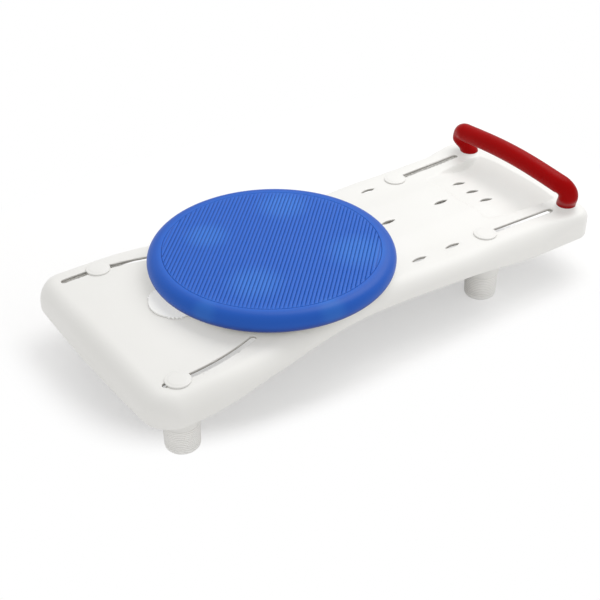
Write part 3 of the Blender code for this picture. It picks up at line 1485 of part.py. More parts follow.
def feet():
    """Four clamp feet, each with its cap, bolt, washer, leg, nut and sleeve."""
    bore = BOLT_RADIUS + CLEARANCE
    washer_high = DECK_LANE - WALL - CLEARANCE
    washer_low = washer_high - WASHER_THICKNESS
    pocket_low, pocket_high = nut_pocket_levels()
    pocket_radius = LEG_NUT_RADIUS + CLEARANCE / math.cos(math.pi / 6)
    pocket_mouth = pocket_low - 3 * MM
    pocket_profile = [
        (0.0, pocket_high),
        (pocket_radius, pocket_high),
        (pocket_radius, pocket_mouth),
        (0.0, pocket_mouth),
    ]
    for name in FOOT_STATIONS:
        x, y, heading = foot_place(name)
        place = (x, y, 0.0)
        add_part("slot_cap_" + name, cap_mesh(), "white_polypropylene", place)
        foot_bolt(name, place, heading)
        washer = washer_mesh("clamp_washer", WASHER_RADIUS, bore, washer_low, washer_high)
        add_part("clamp_washer_" + name, washer, "stainless_steel", place)
        leg = add_part("leg_tube_" + name, leg_mesh(), "white_polypropylene", place)
        pocket = turned_mesh("nut_pocket", pocket_profile, 6)
        boolean(leg, add_cutter("nut_pocket_" + name, pocket, place))
        low = pocket_low + CLEARANCE
        nut = nut_mesh("leg_nut", LEG_NUT_RADIUS, bore, low, pocket_high - CLEARANCE)
        add_part("leg_nut_" + name, nut, "stainless_steel", place)
        add_part("leg_sleeve_" + name, sleeve_mesh(), "grey_white_rubber", place)


deck()
handle()
handle_screws()
SEAT_AXIS = seat_axis()
seat_pad(SEAT_AXIS)
seat_core(SEAT_AXIS)
index_ring(SEAT_AXIS)
index_screws(SEAT_AXIS)
glide_ring()
pivot_parts()
lock_tongue()
lock_rails()
feet()
add_booleans()
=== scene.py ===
"""Looks of the bath board: finishes, detailed pieces, light and camera.

Everything is in metres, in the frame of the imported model: X runs along the board to its
handle, Z is up, and the feet stand at z = 0.
"""

import json
import logging
import math
from dataclasses import dataclass, field
from enum import Enum
from typing import Any, Callable

import bpy
import numpy as np
from mathutils import Matrix, Vector
from mathutils.geometry import delaunay_2d_cdt


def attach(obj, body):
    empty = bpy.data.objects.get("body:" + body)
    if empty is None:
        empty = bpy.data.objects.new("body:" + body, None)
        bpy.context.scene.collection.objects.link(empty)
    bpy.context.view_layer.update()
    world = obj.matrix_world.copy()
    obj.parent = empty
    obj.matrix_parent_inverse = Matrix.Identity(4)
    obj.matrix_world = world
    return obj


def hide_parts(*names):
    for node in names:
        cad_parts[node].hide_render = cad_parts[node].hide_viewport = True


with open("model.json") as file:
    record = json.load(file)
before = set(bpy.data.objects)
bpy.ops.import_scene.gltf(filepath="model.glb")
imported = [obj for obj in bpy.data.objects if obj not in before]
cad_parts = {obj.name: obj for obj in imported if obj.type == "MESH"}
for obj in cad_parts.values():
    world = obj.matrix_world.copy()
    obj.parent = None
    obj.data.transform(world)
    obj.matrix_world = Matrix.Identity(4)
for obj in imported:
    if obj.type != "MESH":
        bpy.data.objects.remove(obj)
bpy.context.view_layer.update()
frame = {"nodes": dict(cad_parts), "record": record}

MM = 0.001
CLEARANCE = 0.3 * MM
ON_AXIS = 1e-9
LOG = logging.getLogger("bath_board")

Array = np.ndarray


def ease(share: Array | float) -> Array:
    """Blend from 0 to 1 with level ends, as half a cosine wave.

    Args:
        share: Where between the ends, below 0 and above 1 held at the ends.

    Returns:
        The blended share, of the same form.
    """
    return 0.5 - 0.5 * np.cos(np.pi * np.clip(share, 0.0, 1.0))


# Meshes from arrays


@dataclass
class MeshData:
    """Vertices and faces of a piece while it is being worked out."""

    points: Array = field(default_factory=lambda: np.zeros((0, 3)))
    faces: list[list[int]] = field(default_factory=list)
    marks: dict[str, Array] = field(default_factory=dict)

    def add(self, points: Array, faces: list[list[int]]) -> int:
        """Append a surface.

        Args:
            points: Its vertices, as rows of x, y and z.
            faces: Its faces, numbered from 0 within those vertices.

        Returns:
            The number of its first vertex in the whole mesh.
        """
        start = len(self.points)
        self.points = np.vstack([self.points, points])
        self.faces += [[index + start for index in face] for face in faces]
        return start

    def join(self, other: "MeshData") -> None:
        """Append another mesh's surfaces."""
        self.add(other.points, other.faces)


def grid_faces(rows: int, columns: int, closed: bool = True) -> list[list[int]]:
    """Faces between the rows of a grid of vertices.

    Args:
        rows: How many rows there are.
        columns: How many vertices each row has.
        closed: Whether each row runs round into a ring.

    Returns:
        Quads that turn with the rows: their normals point along row step times column step.
    """
    spans = columns if closed else columns - 1
    row, column = np.meshgrid(np.arange(rows - 1), np.arange(spans), indexing="ij")
    here = row * columns + column
    beside = row * columns + (column + 1) % columns
    quads = np.stack([here, here + columns, beside + columns, beside], axis=-1)
    return quads.reshape(-1, 4).tolist()


def turned(profile: Array, segments: int, centre: tuple[float, float] = (0.0, 0.0)) -> MeshData:
    """Surface of revolution: each profile point is carried round an upright axis.

    Args:
        profile: Rows of radius and z, down the outside and up the inside. An end on the
            axis becomes a pole, and a profile with no end there closes on itself.
        segments: How many steps the turn has.
        centre: The axis's x and y.

    Returns:
        The closed surface, facing out.
    """
    angles = np.linspace(0.0, 2.0 * np.pi, segments, endpoint=False)
    has_poles = profile[0, 0] < ON_AXIS and profile[-1, 0] < ON_AXIS
    body = profile[1:-1] if has_poles else np.vstack([profile, profile[:1]])
    radius = body[:, 0][:, None]
    rings = np.stack(
        [
            centre[0] + radius * np.cos(angles),
            centre[1] + radius * np.sin(angles),
            np.repeat(body[:, 1][:, None], segments, axis=1),
        ],
        axis=-1,
    )
    data = MeshData()
    if not has_poles:
        count = len(profile)
        data.add(rings[:-1].reshape(-1, 3), [])
        quads = np.array(grid_faces(count + 1, segments))
        data.faces = np.where(quads >= count * segments, quads - count * segments, quads).tolist()
        return data
    data.add(rings.reshape(-1, 3), grid_faces(len(body), segments))
    poles = [(centre[0], centre[1], profile[0, 1]), (centre[0], centre[1], profile[-1, 1])]
    top = data.add(np.array(poles), [])
    last = (len(body) - 1) * segments
    for index in range(segments):
        beside = (index + 1) % segments
        data.faces.append([top, index, beside])
        data.faces.append([top + 1, last + beside, last + index])
    return data


def build_mesh(name: str, data: MeshData, sharp_degrees: float = 40.0) -> bpy.types.Mesh:
    """Put a worked-out surface into a mesh, shaded smooth but for its sharp edges.

    Args:
        name: The mesh's name.
        data: Vertices, faces and marks.
        sharp_degrees: The turn between two faces from which their edge is sharp.

    Returns:
        The mesh.
    """
    mesh = bpy.data.meshes.new(name)
    mesh.from_pydata(data.points.tolist(), [], data.faces)
    for mark, values in data.marks.items():
        layer = mesh.attributes.new(mark, "FLOAT", "POINT")
        layer.data.foreach_set("value", np.asarray(values, dtype=np.float32))
    mesh.shade_smooth()
    mesh.set_sharp_from_angle(angle=math.radians(sharp_degrees))
    mesh.validate()
    return mesh


class Body(Enum):
    """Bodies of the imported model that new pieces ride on."""

    BOARD = "board"
    SEAT = "seat"


class SlotName(Enum):
    """Material slots of the record."""

    WHITE = "white_polypropylene"
    BLUE = "blue_cover"
    RED = "red_plastic"
    RUBBER = "grey_white_rubber"
    ACETAL = "acetal"
    STEEL = "stainless_steel"


def add_piece(
    name: str,
    mesh: bpy.types.Mesh,
    body: str,
    material: bpy.types.Material,
    nodes: tuple[str, ...] = (),
) -> bpy.types.Object:
    """Add a piece that rides on a body and may stand for nodes of the model.

    Args:
        name: The piece's name.
        mesh: Its mesh, in the model's frame.
        body: The body it moves with.
        material: Its finish.
        nodes: The nodes that it replaces.

    Returns:
        The new object.
    """
    item = bpy.data.objects.new(name, mesh)
    bpy.context.scene.collection.objects.link(item)
    item.data.materials.append(material)
    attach(item, body)
    if nodes:
        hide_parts(*nodes)
    LOG.info("%s rides on %s: %d faces", name, body, len(mesh.polygons))
    return item


# Finishes


def linear_from_hex(text: str) -> tuple[float, float, float, float]:
    """Turn an sRGB hex colour into linear values.

    Args:
        text: Six hex digits.

    Returns:
        Red, green, blue and alpha.
    """
    channels = [int(text[start : start + 2], 16) / 255.0 for start in (0, 2, 4)]
    linear = [c / 12.92 if c <= 0.04045 else ((c + 0.055) / 1.055) ** 2.4 for c in channels]
    return (linear[0], linear[1], linear[2], 1.0)


def add_node(
    material: bpy.types.Material | bpy.types.World, kind: str, settings: dict[str, Any], **links: Any
) -> bpy.types.Node:
    """Add a shader node, set its values and link its inputs.

    Args:
        material: The material or world that holds the node.
        kind: The node's type.
        settings: Attribute names, or input names or numbers, with their values.
        links: Input names, with spaces as underscores, and the sockets that feed them.

    Returns:
        The node.
    """
    node = material.node_tree.nodes.new(kind)
    for name, value in settings.items():
        if isinstance(name, int) or name in node.inputs:
            node.inputs[name].default_value = value
        else:
            setattr(node, name, value)
    for name, socket in links.items():
        key = int(name[1:]) if name[0] == "i" and name[1:].isdigit() else name.replace("_", " ")
        material.node_tree.links.new(socket, node.inputs[key])
    return node


def empty_material(name: str) -> tuple[bpy.types.Material, bpy.types.Node]:
    """Return a new node material with only its output node, and that node."""
    material = bpy.data.materials.new(name)
    material.use_nodes = True
    material.node_tree.nodes.clear()
    output = add_node(material, "ShaderNodeOutputMaterial", {})
    return material, output


@dataclass(frozen=True)
class MouldedPlastic:
    """Injection-moulded thermoplastic: even colour, with the fine grain of its tool.

    The grain scatters the gloss a little, and a broad mottle keeps large faces from
    looking flat. Painted shade darkens the colour where the mesh marks it, in openings
    and between ribs.
    """

    name: str
    color: str
    shade_color: str
    roughness: float
    ior: float = 1.49
    grain_mm: float = 0.9
    grain_depth_mm: float = 0.012
    mottle_mm: float = 70.0
    specular: float = 0.5
    # Colour of the painted shade in openings and between ribs.
    painted_cavity_shade_color: str = "8F8A82"

    def build(self) -> bpy.types.Material:
        """Return the finish as a material."""
        material, output = empty_material(self.name)
        place = add_node(material, "ShaderNodeTexCoord", {}).outputs["Object"]
        mottle = add_node(
            material,
            "ShaderNodeTexNoise",
            {"Scale": 1.0 / (self.mottle_mm * MM), "Detail": 2.0},
            Vector=place,
        )
        grain = add_node(
            material,
            "ShaderNodeTexNoise",
            {"Scale": 1.0 / (self.grain_mm * MM), "Detail": 1.0},
            Vector=place,
        )
        tint = add_node(
            material,
            "ShaderNodeMix",
            {
                "data_type": "RGBA",
                6: linear_from_hex(self.color),
                7: linear_from_hex(self.shade_color),
            },
            i0=mottle.outputs["Fac"],
        )
        # Painted shade: the mesh's mark mixes in the shade colour where openings and rib gaps lie in
        # shade.
        painted_cavity_shade = add_node(material, "ShaderNodeAttribute", {"attribute_name": "painted_cavity_shade"})
        shaded = add_node(
            material,
            "ShaderNodeMix",
            {"data_type": "RGBA", 7: linear_from_hex(self.painted_cavity_shade_color)},
            i0=painted_cavity_shade.outputs["Fac"],
            i6=tint.outputs[2],
        )
        rough = add_node(
            material,
            "ShaderNodeMapRange",
            {"To Min": self.roughness - 0.04, "To Max": self.roughness + 0.04},
            Value=grain.outputs["Fac"],
        )
        bump = add_node(
            material,
            "ShaderNodeBump",
            {"Strength": 1.0, "Distance": self.grain_depth_mm * MM},
            Height=grain.outputs["Fac"],
        )
        shader = add_node(
            material,
            "ShaderNodeBsdfPrincipled",
            {
                "IOR": self.ior,
                "Specular IOR Level": self.specular,
            },
            Base_Color=shaded.outputs[2],
            Roughness=rough.outputs["Result"],
            Normal=bump.outputs["Normal"],
        )
        material.node_tree.links.new(shader.outputs["BSDF"], output.inputs["Surface"])
        return material


@dataclass(frozen=True)
class FoamSkin:
    """Skinned closed-cell foam: a soft satin colour, with painted shade deeper down in its moulded
    grooves and on its rim.
    """

    name: str
    color: str
    groove_and_rim_shade_color: str
    patch_and_highlight_color: str
    roughness: float
    grain_mm: float = 1.2
    grain_depth_mm: float = 0.02
    pale_patches_and_rim_highlights: tuple[tuple[float, float, float], ...] = ()

    def build(self) -> bpy.types.Material:
        """Return the finish as a material."""
        material, output = empty_material(self.name)
        place = add_node(material, "ShaderNodeTexCoord", {}).outputs["Object"]
        color = self.patched_and_highlighted_color(material, place)
        # Painted shade: the groove mark mixes in the shade colour in the grooves and on the rim.
        groove = add_node(
            material, "ShaderNodeAttribute", {"attribute_name": "groove"}
        ).outputs["Fac"]
        tint = add_node(
            material,
            "ShaderNodeMix",
            {"data_type": "RGBA", 7: linear_from_hex(self.groove_and_rim_shade_color)},
            i0=groove,
            i6=color,
        )
        grain = add_node(
            material,
            "ShaderNodeTexNoise",
            {"Scale": 1.0 / (self.grain_mm * MM), "Detail": 1.0},
            Vector=place,
        )
        bump = add_node(
            material,
            "ShaderNodeBump",
            {"Strength": 1.0, "Distance": self.grain_depth_mm * MM},
            Height=grain.outputs["Fac"],
        )
        rough = add_node(
            material,
            "ShaderNodeMapRange",
            {"To Min": self.roughness - 0.03, "To Max": self.roughness + 0.03},
            Value=grain.outputs["Fac"],
        )
        shader = add_node(
            material,
            "ShaderNodeBsdfPrincipled",
            {"IOR": 1.45, "Specular IOR Level": 0.3},
            Base_Color=tint.outputs[2],
            Roughness=rough.outputs["Result"],
            Normal=bump.outputs["Normal"],
        )
        material.node_tree.links.new(shader.outputs["BSDF"], output.inputs["Surface"])
        return material

    def patched_and_highlighted_color(
        self, material: bpy.types.Material, place: bpy.types.NodeSocket
    ) -> bpy.types.NodeSocket:
        """Colour of the skin, paler in broad round patches, and with painted highlights where a spot
        lies on the rim.

        Args:
            material: The material that holds the nodes.
            place: The socket of the place on the piece.

        Returns:
            The socket of the colour.
        """
        flat = add_node(
            material, "ShaderNodeVectorMath", {"operation": "MULTIPLY", 1: (1.0, 1.0, 0.0)}, i0=place
        ).outputs["Vector"]
        total: bpy.types.NodeSocket | None = None
        for x, y, radius in self.pale_patches_and_rim_highlights:
            distance = add_node(
                material,
                "ShaderNodeVectorMath",
                {"operation": "DISTANCE", 1: (x, y, 0.0)},
                i0=flat,
            ).outputs["Value"]
            patch = add_node(
                material,
                "ShaderNodeMapRange",
                {
                    "interpolation_type": "SMOOTHSTEP",
                    "From Min": radius,
                    "From Max": 0.25 * radius,
                },
                Value=distance,
            ).outputs["Result"]
            if total is None:
                total = patch
            else:
                total = add_node(
                    material, "ShaderNodeMath", {"operation": "MAXIMUM"}, i0=total, i1=patch
                ).outputs["Value"]
        mix = add_node(
            material,
            "ShaderNodeMix",
            {
                "data_type": "RGBA",
                6: linear_from_hex(self.color),
                7: linear_from_hex(self.patch_and_highlight_color),
            },
        )
        if total is not None:
            material.node_tree.links.new(total, mix.inputs[0])
        return mix.outputs[2]


@dataclass(frozen=True)
class TurnedSteel:
    """Stainless steel with fine turning marks, which stretch its highlights."""

    name: str
    color: str
    roughness: float
    mark_mm: float = 0.4

    def build(self) -> bpy.types.Material:
        """Return the finish as a material."""
        material, output = empty_material(self.name)
        place = add_node(material, "ShaderNodeTexCoord", {}).outputs["Object"]
        squeezed = add_node(
            material, "ShaderNodeMapping", {"Scale": (0.05, 0.05, 1.0)}, Vector=place
        ).outputs["Vector"]
        marks = add_node(
            material,
            "ShaderNodeTexNoise",
            {"Scale": 1.0 / (self.mark_mm * MM), "Detail": 2.0},
            Vector=squeezed,
        ).outputs["Fac"]
        rough = add_node(
            material,
            "ShaderNodeMapRange",
            {"To Min": self.roughness - 0.08, "To Max": self.roughness + 0.1},
            Value=marks,
        ).outputs["Result"]
        shader = add_node(
            material,
            "ShaderNodeBsdfPrincipled",
            {"Base Color": linear_from_hex(self.color), "Metallic": 1.0},
            Roughness=rough,
        )
        material.node_tree.links.new(shader.outputs["BSDF"], output.inputs["Surface"])
        return material


# The board


@dataclass
class BoardForm:
    """Sizes of the moulded board, and its surfaces as functions of the place on them."""

    length: float = 740 * MM
    wide_half_width: float = 172.5 * MM
    waist_half_width: float = 131.8 * MM
    shoulder_half_width: float = 139.2 * MM
    handle_end_flare: float = 3.2 * MM
    waist_start_x: float = -20 * MM
    waist_run: float = 265 * MM
    shoulder_start_x: float = -10 * MM
    shoulder_run: float = 170 * MM
    wide_corner_radius: float = 38 * MM
    handle_corner_radius: float = 29 * MM
    end_bow: float = 5 * MM
    bow_run: float = 60 * MM
    top: float = 102 * MM
    lane_drop: float = 4.7 * MM
    crown_flat_half_width: float = 36 * MM
    lane_half_width: float = 17.5 * MM
    wall: float = 3.5 * MM
    roll_width_side: float = 25 * MM
    roll_height_side: float = 29 * MM
    roll_width_handle: float = 9.5 * MM
    roll_height_handle: float = 13 * MM
    roll_blend_start_x: float = 270 * MM
    skirt_low: float = 59.4 * MM
    skirt_min_wall: float = 6 * MM
    arch_rise: float = 11.2 * MM
    arch_wide: tuple[float, float] = (-320 * MM, -200 * MM)
    arch_handle: tuple[float, float] = (260 * MM, 120 * MM)
    edge_tuck: float = 1.2 * MM
    slot_width: float = 8.6 * MM
    arc_radius: float = 323.6 * MM
    arc_centre_x: float = -312.1 * MM
    arc_offset: float = 134.1 * MM
    arc_ends: tuple[float, float] = (-337.3 * MM, -196 * MM)
    straight_ends: tuple[float, float] = (181 * MM, 319.7 * MM)
    straight_offset: float = 97.2 * MM
    straight_flare: float = 0.0384
    tray_front_x: float = 224 * MM
    tray_end_x: float = 347 * MM
    tray_front_half_width: float = 74 * MM
    tray_end_half_width: float = 84 * MM
    tray_corner_radius: float = 15 * MM
    tray_step: float = 1.3 * MM
    tray_depth: float = 12.5 * MM
    tray_slope_start_x: float = 246 * MM
    tray_deepest_x: float = 314 * MM
    tray_side_run: float = 6 * MM
    tray_front_run: float = 3 * MM

    def half_width(self, x: Array) -> Array:
        """Half the width of the skirt: a waist that eases out to both ends."""
        to_wide = ease((self.waist_start_x - x) / self.waist_run)
        to_shoulder = ease((x - self.shoulder_start_x) / self.shoulder_run)
        shoulder_end = self.shoulder_start_x + self.shoulder_run
        flare_run = self.length / 2 - self.handle_corner_radius - shoulder_end
        flare = np.clip((x - shoulder_end) / flare_run, 0.0, 1.0)
        return (
            self.waist_half_width
            + (self.wide_half_width - self.waist_half_width) * to_wide
            + (self.shoulder_half_width - self.waist_half_width) * to_shoulder
            + self.handle_end_flare * flare
        )

    def skirt_bottom(self, x: Array) -> Array:
        """Height of the skirt's lower edge, arched between the two ends."""
        wide = ease((x - self.arch_wide[0]) / (self.arch_wide[1] - self.arch_wide[0]))
        handle = ease((self.arch_handle[0] - x) / (self.arch_handle[0] - self.arch_handle[1]))
        return self.skirt_low + self.arch_rise * np.minimum(wide, handle)

    def arc_slot_y(self, x: Array) -> Array:
        """Distance of the arc slots from the middle of the board."""
        run = x - self.arc_centre_x
        return self.arc_offset - self.arc_radius + np.sqrt(self.arc_radius**2 - run**2)

    def straight_slot_y(self, x: Array) -> Array:
        """Distance of the straight slots from the middle of the board."""
        return self.straight_offset + self.straight_flare * (x - self.straight_ends[0])

    def lane_y(self, x: Array) -> Array:
        """Centre of the low lane that the slots lie in, along the whole board."""
        arc_end = self.arc_ends[1]
        straight_start = self.straight_ends[0]
        share = ease((x - arc_end) / (straight_start - arc_end))
        arc = self.arc_slot_y(np.clip(x, self.arc_ends[0], arc_end))
        straight = self.straight_slot_y(np.maximum(x, straight_start))
        return arc + (straight - arc) * share

    def crown_height(self, x: Array, y: Array) -> Array:
        """Height of the top without the tray: level, then easing down to the lanes."""
        lane_edge = self.lane_y(x) - self.lane_half_width
        share = (np.abs(y) - self.crown_flat_half_width) / (lane_edge - self.crown_flat_half_width)
        return self.top - self.lane_drop * ease(share)

    def tray_half_width(self, x: Array) -> Array:
        """Half width of the soap tray, round at its front corners."""
        share = (x - self.tray_front_x) / (self.tray_end_x - self.tray_front_x)
        width = (
            self.tray_front_half_width
            + (self.tray_end_half_width - self.tray_front_half_width) * share
        )
        lead = np.clip(self.tray_corner_radius - (x - self.tray_front_x), 0.0, None)
        lead = np.minimum(lead, self.tray_corner_radius)
        corner = self.tray_corner_radius - np.sqrt(self.tray_corner_radius**2 - lead**2)
        return width - corner

    def tray_drop(self, x: Array, y: Array) -> Array:
        """Depth of the soap tray: a floor that falls towards the handle and rises to a ridge."""
        run = (x - self.tray_slope_start_x) / (self.tray_deepest_x - self.tray_slope_start_x)
        falling = self.tray_step + (self.tray_depth - self.tray_step) * ease(run)
        rise = (x - self.tray_deepest_x) / (self.tray_end_x - self.tray_deepest_x)
        rising = self.tray_depth * np.cos(np.pi / 2 * np.clip(rise, 0.0, 1.0))
        floor = np.where(x < self.tray_deepest_x, falling, rising)
        side = ease((self.tray_half_width(x) - np.abs(y)) / self.tray_side_run)
        front = ease((x - self.tray_front_x) / self.tray_front_run)
        within = (x > self.tray_front_x) & (x < self.tray_end_x)
        return np.where(within, floor * side * front, 0.0)

    def surface(self, x: Array, y: Array) -> Array:
        """Height of the board's top with its tray."""
        return self.crown_height(x, y) - self.tray_drop(x, y)

    def roll_share(self, x: Array) -> Array:
        """Share of the way from the sides' broad roll to the handle end's tight one."""
        run = self.length / 2 - self.handle_corner_radius - self.roll_blend_start_x
        return ease((x - self.roll_blend_start_x) / run)

    def roll_width(self, x: Array) -> Array:
        """Width of the rolled edge."""
        share = self.roll_share(x)
        return self.roll_width_side + (self.roll_width_handle - self.roll_width_side) * share

    def roll_height(self, x: Array) -> Array:
        """Height of the rolled edge, which stops short of the skirt's lower edge."""
        share = self.roll_share(x)
        height = self.roll_height_side + (self.roll_height_handle - self.roll_height_side) * share
        room = self.top - self.lane_drop - self.skirt_bottom(x) - self.skirt_min_wall
        return np.minimum(height, room)

    def bowed(self, x: Array, y: Array) -> Array:
        """Where x lies once the wide end is bowed outwards at its middle."""
        near_end = ease((-self.length / 2 + self.bow_run - x) / self.bow_run)
        return x + self.end_bow * near_end * (y / self.wide_half_width) ** 2

    def unbowed(self, points: Array) -> Array:
        """Points, as rows of x and y, that the bow carries to the given ones."""
        x, y = points[:, 0], points[:, 1]
        start = x
        for _ in range(3):
            start = start + x - self.bowed(start, y)
        return np.stack([start, y], axis=1)

    def outline(self, side_steps: int, corner_steps: int, end_steps: int) -> tuple[Array, Array]:
        """Outline of the skirt before the bow, anticlockwise from the handle end's middle.

        Args:
            side_steps: Steps along each long side.
            corner_steps: Steps round each corner.
            end_steps: Steps along half an end.

        Returns:
            The points and their outward directions, as rows of x and y.
        """
        half = self.length / 2
        handle_x = half - self.handle_corner_radius
        wide_x = -half + self.wide_corner_radius
        handle_y = float(self.half_width(np.array(handle_x))) - self.handle_corner_radius
        wide_y = float(self.half_width(np.array(wide_x))) - self.wide_corner_radius
        end = np.linspace(0.0, 1.0, end_steps, endpoint=False)
        turn = np.linspace(0.0, np.pi / 2, corner_steps + 1)
        run = np.linspace(0.0, 1.0, side_steps + 1)[1:-1]
        side_x = handle_x + (wide_x - handle_x) * run
        probe = 1 * MM
        slope = (self.half_width(side_x + probe) - self.half_width(side_x - probe)) / (2 * probe)
        scale = np.hypot(1.0, slope)
        back = np.linspace(1.0, 0.0, end_steps + 1)[1:]
        points = np.vstack(
            [
                np.stack([np.full_like(end, half), handle_y * end], axis=1),
                np.stack(
                    [
                        handle_x + self.handle_corner_radius * np.cos(turn),
                        handle_y + self.handle_corner_radius * np.sin(turn),
                    ],
                    axis=1,
                ),
                np.stack([side_x, self.half_width(side_x)], axis=1),
                np.stack(
                    [
                        wide_x - self.wide_corner_radius * np.sin(turn),
                        wide_y + self.wide_corner_radius * np.cos(turn),
                    ],
                    axis=1,
                ),
                np.stack([np.full_like(back, -half), wide_y * back], axis=1),
            ]
        )
        normals = np.vstack(
            [
                np.stack([np.ones_like(end), np.zeros_like(end)], axis=1),
                np.stack([np.cos(turn), np.sin(turn)], axis=1),
                np.stack([-slope / scale, 1.0 / scale], axis=1),
                np.stack([-np.sin(turn), np.cos(turn)], axis=1),
                np.stack([-np.ones_like(back), np.zeros_like(back)], axis=1),
            ]
        )
        flip = np.array([1.0, -1.0])
        points = np.vstack([points, points[-2:0:-1] * flip])
        normals = np.vstack([normals, normals[-2:0:-1] * flip])
        return points, normals


def stadium(path: Array, half: float, cap_steps: int) -> Array:
    """Outline at one distance round a path: both its sides, joined by half circles.

    Args:
        path: The path's points, as rows of x and y.
        half: The distance.
        cap_steps: Steps round each end.

    Returns:
        The outline's points, anticlockwise.
    """
    along = np.gradient(path, axis=0)
    along /= np.linalg.norm(along, axis=1)[:, None]
    right = np.stack([along[:, 1], -along[:, 0]], axis=1)
    turn = np.linspace(-np.pi / 2, np.pi / 2, cap_steps + 1)[1:-1]

    def cap(centre: Array, heading: Array) -> Array:
        angles = math.atan2(heading[1], heading[0]) + turn
        return centre + half * np.stack([np.cos(angles), np.sin(angles)], axis=1)

    return np.vstack(
        [
            path + right * half,
            cap(path[-1], along[-1]),
            (path - right * half)[::-1],
            cap(path[0], -along[0]),
        ]
    )


@dataclass
class Opening:
    """A hole through the board: an outline at any distance outside its edge."""

    outline: Callable[[float], Array]
    edge_radius: float = 1.1 * MM


def inside_polygon(polygon: Array, points: Array) -> Array:
    """Tell which points lie inside a polygon, by counting the edges they pass under.

    Args:
        polygon: The polygon's points, as rows of x and y.
        points: The points to test.

    Returns:
        True for each point inside.
    """
    within = np.zeros(len(points), dtype=bool)
    x, y = points[:, 0], points[:, 1]
    for (ax, ay), (bx, by) in zip(polygon, np.roll(polygon, -1, axis=0)):
        if ay == by:
            continue
        spans = (ay > y) != (by > y)
        within ^= spans & (x < (bx - ax) * (y - ay) / (by - ay) + ax)
    return within


def nearest_distance(points: Array, others: Array) -> Array:
    """Distance from each point to the nearest of some others, worked out in blocks."""
    result = np.empty(len(points))
    block = 512
    for start in range(0, len(points), block):
        part = points[start : start + block]
        gaps = part[:, None, :] - others[None, :, :]
        result[start : start + block] = np.sqrt((gaps**2).sum(axis=2)).min(axis=1)
    return result


